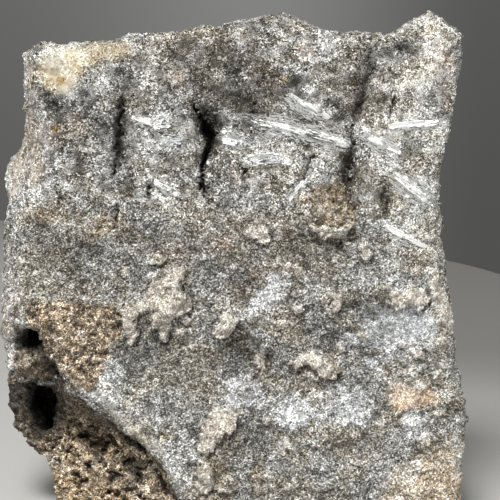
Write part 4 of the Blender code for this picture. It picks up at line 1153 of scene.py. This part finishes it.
def blade_form(maker):
    """One thin blade of unit size: a flat bar that tapers to its ends, with bevelled front edges."""
    bar = maker.add("GeometryNodeMeshCube", None, {
        "Size": (1.0, 1.0, 1.0), "Vertices X": 5, "Vertices Y": 2, "Vertices Z": 2})["Mesh"]
    place = maker.add("GeometryNodeInputPosition")["Position"]
    split = maker.axes(place)
    end = (split["X"].math("ABSOLUTE") * 2.0) ** 3.0
    front = split["Y"].math("LESS_THAN", 0.0)
    shorter = 1.0 - front * FRONT_SHORTENING
    narrow = 1.0 - end * END_TAPER - front * FRONT_TAPER
    flat = 1.0 - end * front * END_FLATTENING
    shaped = maker.place(split["X"] * shorter, split["Y"] * flat, split["Z"] * narrow)
    bar = maker.add("GeometryNodeStoreNamedAttribute", {"data_type": "FLOAT_VECTOR", "domain": "POINT"}, {
        "Geometry": bar, "Name": "blade_place", "Value": place})["Geometry"]
    return maker.add("GeometryNodeSetPosition", None, {"Geometry": bar, "Position": shaped})["Geometry"]


def random_value(maker, low, high, seed):
    """A random number or vector for each point."""
    if isinstance(low, tuple):
        settings = {"data_type": "FLOAT_VECTOR"}
        return maker.add("FunctionNodeRandomValue", settings, {0: low, 1: high, "Seed": seed})[0]
    return maker.add("FunctionNodeRandomValue", {"data_type": "FLOAT"}, {2: low, 3: high, "Seed": seed})[1]


def named_value(maker, name, kind="FLOAT"):
    """A named attribute of the geometry."""
    return maker.add("GeometryNodeInputNamedAttribute", {"data_type": kind}, {"Name": name})["Attribute"]


def spread_points(maker, given, density):
    """Points on the rock, as many on a square metre as an attribute of it says."""
    return maker.add("GeometryNodeDistributePointsOnFaces", None, {
        "Mesh": given["Geometry"], "Density": named_value(maker, density) * given["Per Square Metre"],
        "Seed": given["Seed"]})


def finish_copies(maker, points, form, turn, size, tone, material):
    """End a geometry tree: a copy of a form on each point, with its own random tone and the material."""
    copies = maker.add("GeometryNodeInstanceOnPoints", None, {
        "Points": points, "Instance": form, "Rotation": turn, "Scale": size})[0]
    name, highest, seed = tone
    copies = maker.add("GeometryNodeStoreNamedAttribute", {"data_type": "FLOAT", "domain": "INSTANCE"}, {
        "Geometry": copies, "Name": name, "Value": random_value(maker, 0.0, highest, seed)})[0]
    solid = maker.add("GeometryNodeRealizeInstances", None, {"Geometry": copies})[0]
    solid = maker.add("GeometryNodeSetMaterial", None, {"Geometry": solid, "Material": material})[0]
    maker.add("NodeGroupOutput", None, {"Geometry": solid})


def bundle_tree(material):
    """Geometry tree: thin blades side by side along X within a bundle's length and width."""
    numbers = ("Length", "Width", "Blade Width", "Thickness", "Sink", "Tarnish")
    tree, maker, given = geometry_tree("blade_bundle", numbers, whole=("Blades",))
    seed = given["Seed"]
    share = random_value(maker, 0.0, 1.0, seed) ** BLADE_RARITY * BLADE_GROWTH + SHORTEST_BLADE
    shift = random_value(maker, -0.5, 0.5, seed + 1)
    rise = random_value(maker, -0.5, 0.5, seed + 2) * 0.6 + random_value(maker, -0.5, 0.5, seed + 7) * 0.4
    sink = random_value(maker, -0.25, 0.35, seed + 3)
    length = given["Length"] * share
    place = maker.place(
        shift * (given["Length"] - length), sink * given["Thickness"] + given["Sink"],
        rise * (given["Width"] - given["Blade Width"]))
    points = maker.add("GeometryNodePoints", None, {"Count": given["Blades"], "Position": place})[0]
    across = given["Blade Width"] * random_value(maker, 0.45, 1.4, seed + 4)
    size = maker.place(length, given["Thickness"], across)
    turn = random_value(maker, (-0.6, -0.045, -0.03), (0.6, 0.045, 0.03), seed + 5)
    tone = ("blade_shade", given["Tarnish"], seed + 6)
    finish_copies(maker, points, blade_form(maker), turn, size, tone, material)
    return tree


def sliver_tree(material):
    """Geometry tree: small slivers on the rock, along the streaks of tellurium that dust it."""
    tree, maker, given = geometry_tree("tellurium_slivers", ("Per Square Metre", "Length"))
    seed = given["Seed"]
    spread = spread_points(maker, given, "sliver_density")
    upright = maker.add("FunctionNodeAlignRotationToVector", {"axis": "Y"}, {"Vector": spread["Normal"]})[0]
    stray = random_value(maker, (-0.18, 0.0, -0.22), (0.18, 0.0, 0.22), seed + 1)
    streak = maker.vector("ADD", named_value(maker, "streak", "FLOAT_VECTOR"), stray)
    along = maker.add("FunctionNodeAlignRotationToVector", {"axis": "X", "pivot_axis": "Y"}, {
        "Rotation": upright, "Vector": streak})[0]
    grow = random_value(maker, 0.25, 1.0, seed + 2)
    longest = given["Length"]
    size = maker.place(longest * grow, longest * SLIVER_THICKNESS, longest * SLIVER_WIDTH)
    tone = ("blade_shade", 1.0, seed + 3)
    finish_copies(maker, spread["Points"], blade_form(maker), along, size, tone, material)
    return tree


def grain_tree(material, density):
    """Geometry tree: small angular grains half sunk in the rock, as many as an attribute of it says."""
    tree, maker, given = geometry_tree("quartz_grains", ("Per Square Metre", "Smallest", "Largest"))
    seed = given["Seed"]
    spread = spread_points(maker, given, density)
    grain = maker.add("GeometryNodeMeshUVSphere", None, {"Segments": 4, "Rings": 2, "Radius": 1.0})["Mesh"]
    turn = random_value(maker, (-3.1, -3.1, -3.1), (3.1, 3.1, 3.1), seed + 1)
    even = random_value(maker, 0.0, 1.0, seed + 2) ** 1.8
    radius = given["Smallest"] + even * (given["Largest"] - given["Smallest"])
    squash = random_value(maker, (0.6, 0.6, 0.6), (1.1, 1.1, 1.1), seed + 3)
    size = maker.vector("SCALE", squash, scale=radius)
    finish_copies(maker, spread["Points"], grain, turn, size, ("grain_tone", 1.0, seed + 4), material)
    return tree


def bundle_frame(node):
    """A bundle's place in the specimen: its matrix, length and width, read from its solid."""
    places = np.array([vertex.co[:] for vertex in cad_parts[node].data.vertices])
    centre = (places.min(0) + places.max(0)) / 2
    _, _, axes = np.linalg.svd(places - places.mean(0))
    along = axes[0] * np.sign(axes[0][0])
    inward = axes[2] * np.sign(axes[2][1])
    across = np.cross(along, inward)
    turned = (places - centre) @ np.array([along, inward, across]).T
    size = turned.max(0) - turned.min(0)
    middle = centre + np.array([along, inward, across]).T @ ((turned.max(0) + turned.min(0)) / 2)
    matrix = Matrix([[along[i], inward[i], across[i], middle[i]] for i in range(3)] + [[0, 0, 0, 1]])
    return matrix, size


class SPECIMEN_OT_rock(bpy.types.Operator):
    """Build the grained quartz rock in place of its plain solid"""

    bl_idname = "specimen.rock"
    bl_label = "Build rock"

    def execute(self, context):
        finish = context.scene.rock_finish
        mesh = rock_block(finish.voxel)
        worn = roughen(mesh, finish.roughening)
        paint(mesh, worn, finish)
        mesh.name = "quartz_rock_mesh"
        mesh.materials.clear()
        mesh.materials.append(rock_material("quartz_rock", finish, loose=False))
        mesh.shade_smooth()
        keep_as_piece(mesh_object("quartz_rock", mesh), ROCK_SLOT, ROCK_NODE)
        return {"FINISHED"}


class SPECIMEN_OT_grains(bpy.types.Operator):
    """Scatter angular quartz grains over the rock"""

    bl_idname = "specimen.grains"
    bl_label = "Scatter grains"

    def execute(self, context):
        finish = context.scene.grain_finish
        rock = bpy.data.objects["quartz_rock"]
        material = rock_material("quartz_grains", context.scene.rock_finish, loose=True)
        for density, count in (("face_grains", finish.on_face), ("side_grains", finish.on_sides)):
            mesh = run_tree(rock, grain_tree(material, density), {
                "Per Square Metre": count / MM ** 2, "Smallest": finish.smallest, "Largest": finish.largest,
                "Seed": finish.seed})
            mesh.name = density + "_mesh"
            keep_as_piece(mesh_object(density, mesh), ROCK_SLOT)
        return {"FINISHED"}


class SPECIMEN_OT_blades(bpy.types.Operator):
    """Build the striated blades of every tellurium bundle"""

    bl_idname = "specimen.blades"
    bl_label = "Build blades"

    def execute(self, context):
        finish = context.scene.tellurium_finish
        tree = bundle_tree(tellurium_material(finish))
        for index, node in enumerate(BUNDLES):
            matrix, size = bundle_frame(node)
            carrier = mesh_object(node + "_carrier", bpy.data.meshes.new(node + "_carrier"))
            mesh = run_tree(carrier, tree, {
                "Length": float(size[0]), "Width": float(size[2]), "Thickness": finish.blade_thickness,
                "Blades": max(FEWEST_BLADES, round(size[2] / MM * finish.blades_per_mm)),
                "Blade Width": finish.blade_width, "Sink": BURIED.get(node, 0.0) * MM,
                "Tarnish": TARNISH.get(node, 1.0), "Seed": finish.seed + SEED_STEP * index})
            bpy.data.objects.remove(carrier, do_unlink=True)
            mesh.transform(matrix)
            mesh.name = node + "_striated_mesh"
            keep_as_piece(mesh_object(node + "_striated", mesh), TELLURIUM_SLOT, node)
        return {"FINISHED"}


class SPECIMEN_OT_slivers(bpy.types.Operator):
    """Scatter small tellurium slivers over the dusted rock"""

    bl_idname = "specimen.slivers"
    bl_label = "Scatter slivers"

    def execute(self, context):
        finish = context.scene.tellurium_finish
        rock = bpy.data.objects["quartz_rock"]
        mesh = run_tree(rock, sliver_tree(bpy.data.materials["tellurium"]), {
            "Per Square Metre": finish.slivers_per_square_mm / MM ** 2, "Length": finish.sliver_length,
            "Seed": finish.seed})
        mesh.name = "tellurium_slivers_mesh"
        keep_as_piece(mesh_object("tellurium_slivers", mesh), TELLURIUM_SLOT)
        return {"FINISHED"}


class SPECIMEN_OT_stage(bpy.types.Operator):
    """Set the pale board, the grey backdrop, the lights and the camera"""

    bl_idname = "specimen.stage"
    bl_label = "Set stage"

    def execute(self, context):
        setup = context.scene.stage_setup
        build_board()
        build_backdrop()
        build_lights(context.scene, setup)
        build_camera(context.scene, setup)
        return {"FINISHED"}


def build_board():
    """The pale board that the specimen stands on, with a large rounded corner; its colour is painted light
    and shade, paler on the left and near the front, darker to the right and far back.
    """
    material, maker = new_material("pale_board")
    spot = place_in_mm(maker)
    place = maker.axes(spot)
    cloudy = maker.noise(spot, 30.0, 3.0)
    # painted light and shade: paler on the left, and on the right darker far back and lighter near the front
    across = (place["X"] + place["Y"] * 0.35 + (cloudy - 0.5) * 12.0).step(-60.0, 70.0)
    forward = place["Y"].step(95.0, -12.0)
    dim = maker.mix(forward, (0.175, 0.172, 0.163, 1.0), (0.42, 0.418, 0.402, 1.0))
    colour = maker.mix(across, (0.455, 0.455, 0.442, 1.0), dim)
    finish_material(maker, {"Base Color": colour, "Roughness": 0.55})
    work = bmesh.new()
    far, near, left, right, corner = 322 * MM, -600 * MM, -600 * MM, 73 * MM, 180 * MM
    thickness, steps = 12 * MM, 24
    outline = [(left, near), (right, near)]
    for step in range(steps + 1):
        angle = math.radians(90.0 * step / steps)
        outline.append((right - corner + corner * math.cos(angle), far - corner + corner * math.sin(angle)))
    outline.append((left, far))
    face = work.faces.new([work.verts.new((px, py, 0.0)) for px, py in outline])
    sides = bmesh.ops.extrude_face_region(work, geom=[face])
    lowered = [part for part in sides["geom"] if isinstance(part, bmesh.types.BMVert)]
    bmesh.ops.translate(work, vec=(0.0, 0.0, -thickness), verts=lowered)
    bmesh.ops.recalc_face_normals(work, faces=work.faces)
    mesh = close_mesh(work, "pale_board")
    mesh.materials.append(material)
    board = mesh_object("pale_board", mesh)
    edge = board.modifiers.new("soft_edge", "BEVEL")
    edge.width = 5 * MM
    edge.segments = 5


def build_backdrop():
    """A plain grey backdrop that glows with painted light, darker to the right and downwards."""
    material, maker = new_material("grey_backdrop")
    place = maker.axes(place_in_mm(maker))
    right = place["X"].step(0.0, 150.0)
    low = place["Z"].step(130.0, -60.0)
    colour = maker.mix(right, (0.24, 0.24, 0.235, 1.0), (0.10, 0.10, 0.097, 1.0))
    colour = maker.mix(place["X"].step(20.0, -160.0), colour, (0.14, 0.14, 0.137, 1.0))
    colour = maker.mix(low * 0.35, colour, (0.05, 0.05, 0.048, 1.0))
    # the backdrop glows with its own painted light instead of being lit
    finish_material(maker, {"Base Color": (0.0, 0.0, 0.0, 1.0), "Roughness": 1.0, "Specular IOR Level": 0.0,
                            "Emission Color": colour, "Emission Strength": 1.0})
    work = bmesh.new()
    half_width, distance = 1.4, 0.75
    bmesh.ops.create_grid(work, x_segments=1, y_segments=1, size=half_width)
    turn = Matrix.Translation((0.0, distance, 0.0)) @ Matrix.Rotation(math.pi / 2, 4, "X")
    bmesh.ops.transform(work, matrix=turn, verts=work.verts)
    mesh = close_mesh(work, "grey_backdrop")
    mesh.materials.append(material)
    mesh_object("grey_backdrop", mesh)


def area_light(scene, name, direction, distance, size, power, colour, aim):
    """A soft square light that looks at a point from a turn and a height, both angles."""
    turn, height = direction
    back = Vector((-math.sin(turn) * math.cos(height), -math.cos(turn) * math.cos(height), math.sin(height)))
    light = bpy.data.lights.new(name, "AREA")
    light.size = size
    light.energy = power
    light.color = colour
    lamp = bpy.data.objects.new(name, light)
    lamp.location = Vector(aim) + back * distance
    lamp.rotation_euler = (-back).to_track_quat("-Z", "Y").to_euler()
    scene.collection.objects.link(lamp)


def build_lights(scene, setup):
    """A soft key light high on the left, a weak fill on the right and even light all round."""
    aim = setup.target[:]
    key, fill = (setup.key_turn, setup.key_height), (math.radians(-50), math.radians(16))
    distance, key_size, fill_size = 0.85, 0.3, 0.5
    area_light(scene, "key_light", key, distance, key_size, setup.key_power, (1.0, 0.99, 0.97), aim)
    area_light(scene, "fill_light", fill, distance, fill_size, setup.fill_power, (0.96, 0.98, 1.0), aim)
    world = bpy.data.worlds.new("soft_room")
    world.use_nodes = True
    background = world.node_tree.nodes["Background"]
    background.inputs["Color"].default_value = (1.0, 1.0, 1.0, 1.0)
    background.inputs["Strength"].default_value = setup.ambient
    scene.world = world


def build_camera(scene, setup):
    """The camera at the photograph's viewing angle."""
    lens = bpy.data.cameras.new("camera")
    lens.lens = setup.lens
    lens.clip_start = 0.005
    lens.clip_end = 5.0
    distance = setup.face_height / 2 * setup.lens / (lens.sensor_width / 2)
    back = Vector((0.0, -math.cos(setup.elevation), math.sin(setup.elevation)))
    camera = bpy.data.objects.new("camera", lens)
    camera.location = Vector(setup.target) + back * distance
    camera.rotation_euler = (-back).to_track_quat("-Z", "Y").to_euler()
    scene.collection.objects.link(camera)
    scene.camera = camera
    scene.view_settings.view_transform = "Standard"


class SPECIMEN_PT_sidebar(bpy.types.Panel):
    """The specimen's operators and sizes"""

    bl_label = "Specimen"
    bl_idname = "SPECIMEN_PT_sidebar"
    bl_space_type = "VIEW_3D"
    bl_region_type = "UI"
    bl_category = "Specimen"

    def draw(self, context):
        scene = context.scene
        for operator, settings in STEPS:
            self.layout.operator(operator)
            group = getattr(scene, settings)
            for key in group.bl_rna.properties.keys():
                if key not in ("rna_type", "name"):
                    self.layout.prop(group, key)


STEPS = (
    ("specimen.rock", "rock_finish"),
    ("specimen.grains", "grain_finish"),
    ("specimen.blades", "tellurium_finish"),
    ("specimen.slivers", "tellurium_finish"),
    ("specimen.stage", "stage_setup"),
)
GROUPS = {
    "rock_finish": RockFinish,
    "grain_finish": GrainFinish,
    "tellurium_finish": TelluriumFinish,
    "stage_setup": StageSetup,
}
CLASSES = (
    SPECIMEN_OT_rock, SPECIMEN_OT_grains, SPECIMEN_OT_blades, SPECIMEN_OT_slivers, SPECIMEN_OT_stage,
    SPECIMEN_PT_sidebar,
)


def register():
    """Register the property groups, the operators and the panel."""
    for name, group in GROUPS.items():
        bpy.utils.register_class(group)
        setattr(bpy.types.Scene, name, PointerProperty(type=group))
    for made in CLASSES:
        bpy.utils.register_class(made)


def unregister():
    """Take back what register added."""
    for made in reversed(CLASSES):
        bpy.utils.unregister_class(made)
    for name, group in GROUPS.items():
        delattr(bpy.types.Scene, name)
        bpy.utils.unregister_class(group)


def main():
    """Build every piece and the stage."""
    register()
    bpy.ops.specimen.rock()
    bpy.ops.specimen.grains()
    bpy.ops.specimen.blades()
    bpy.ops.specimen.slivers()
    bpy.ops.specimen.stage()


if __name__ == "__main__":
    main()
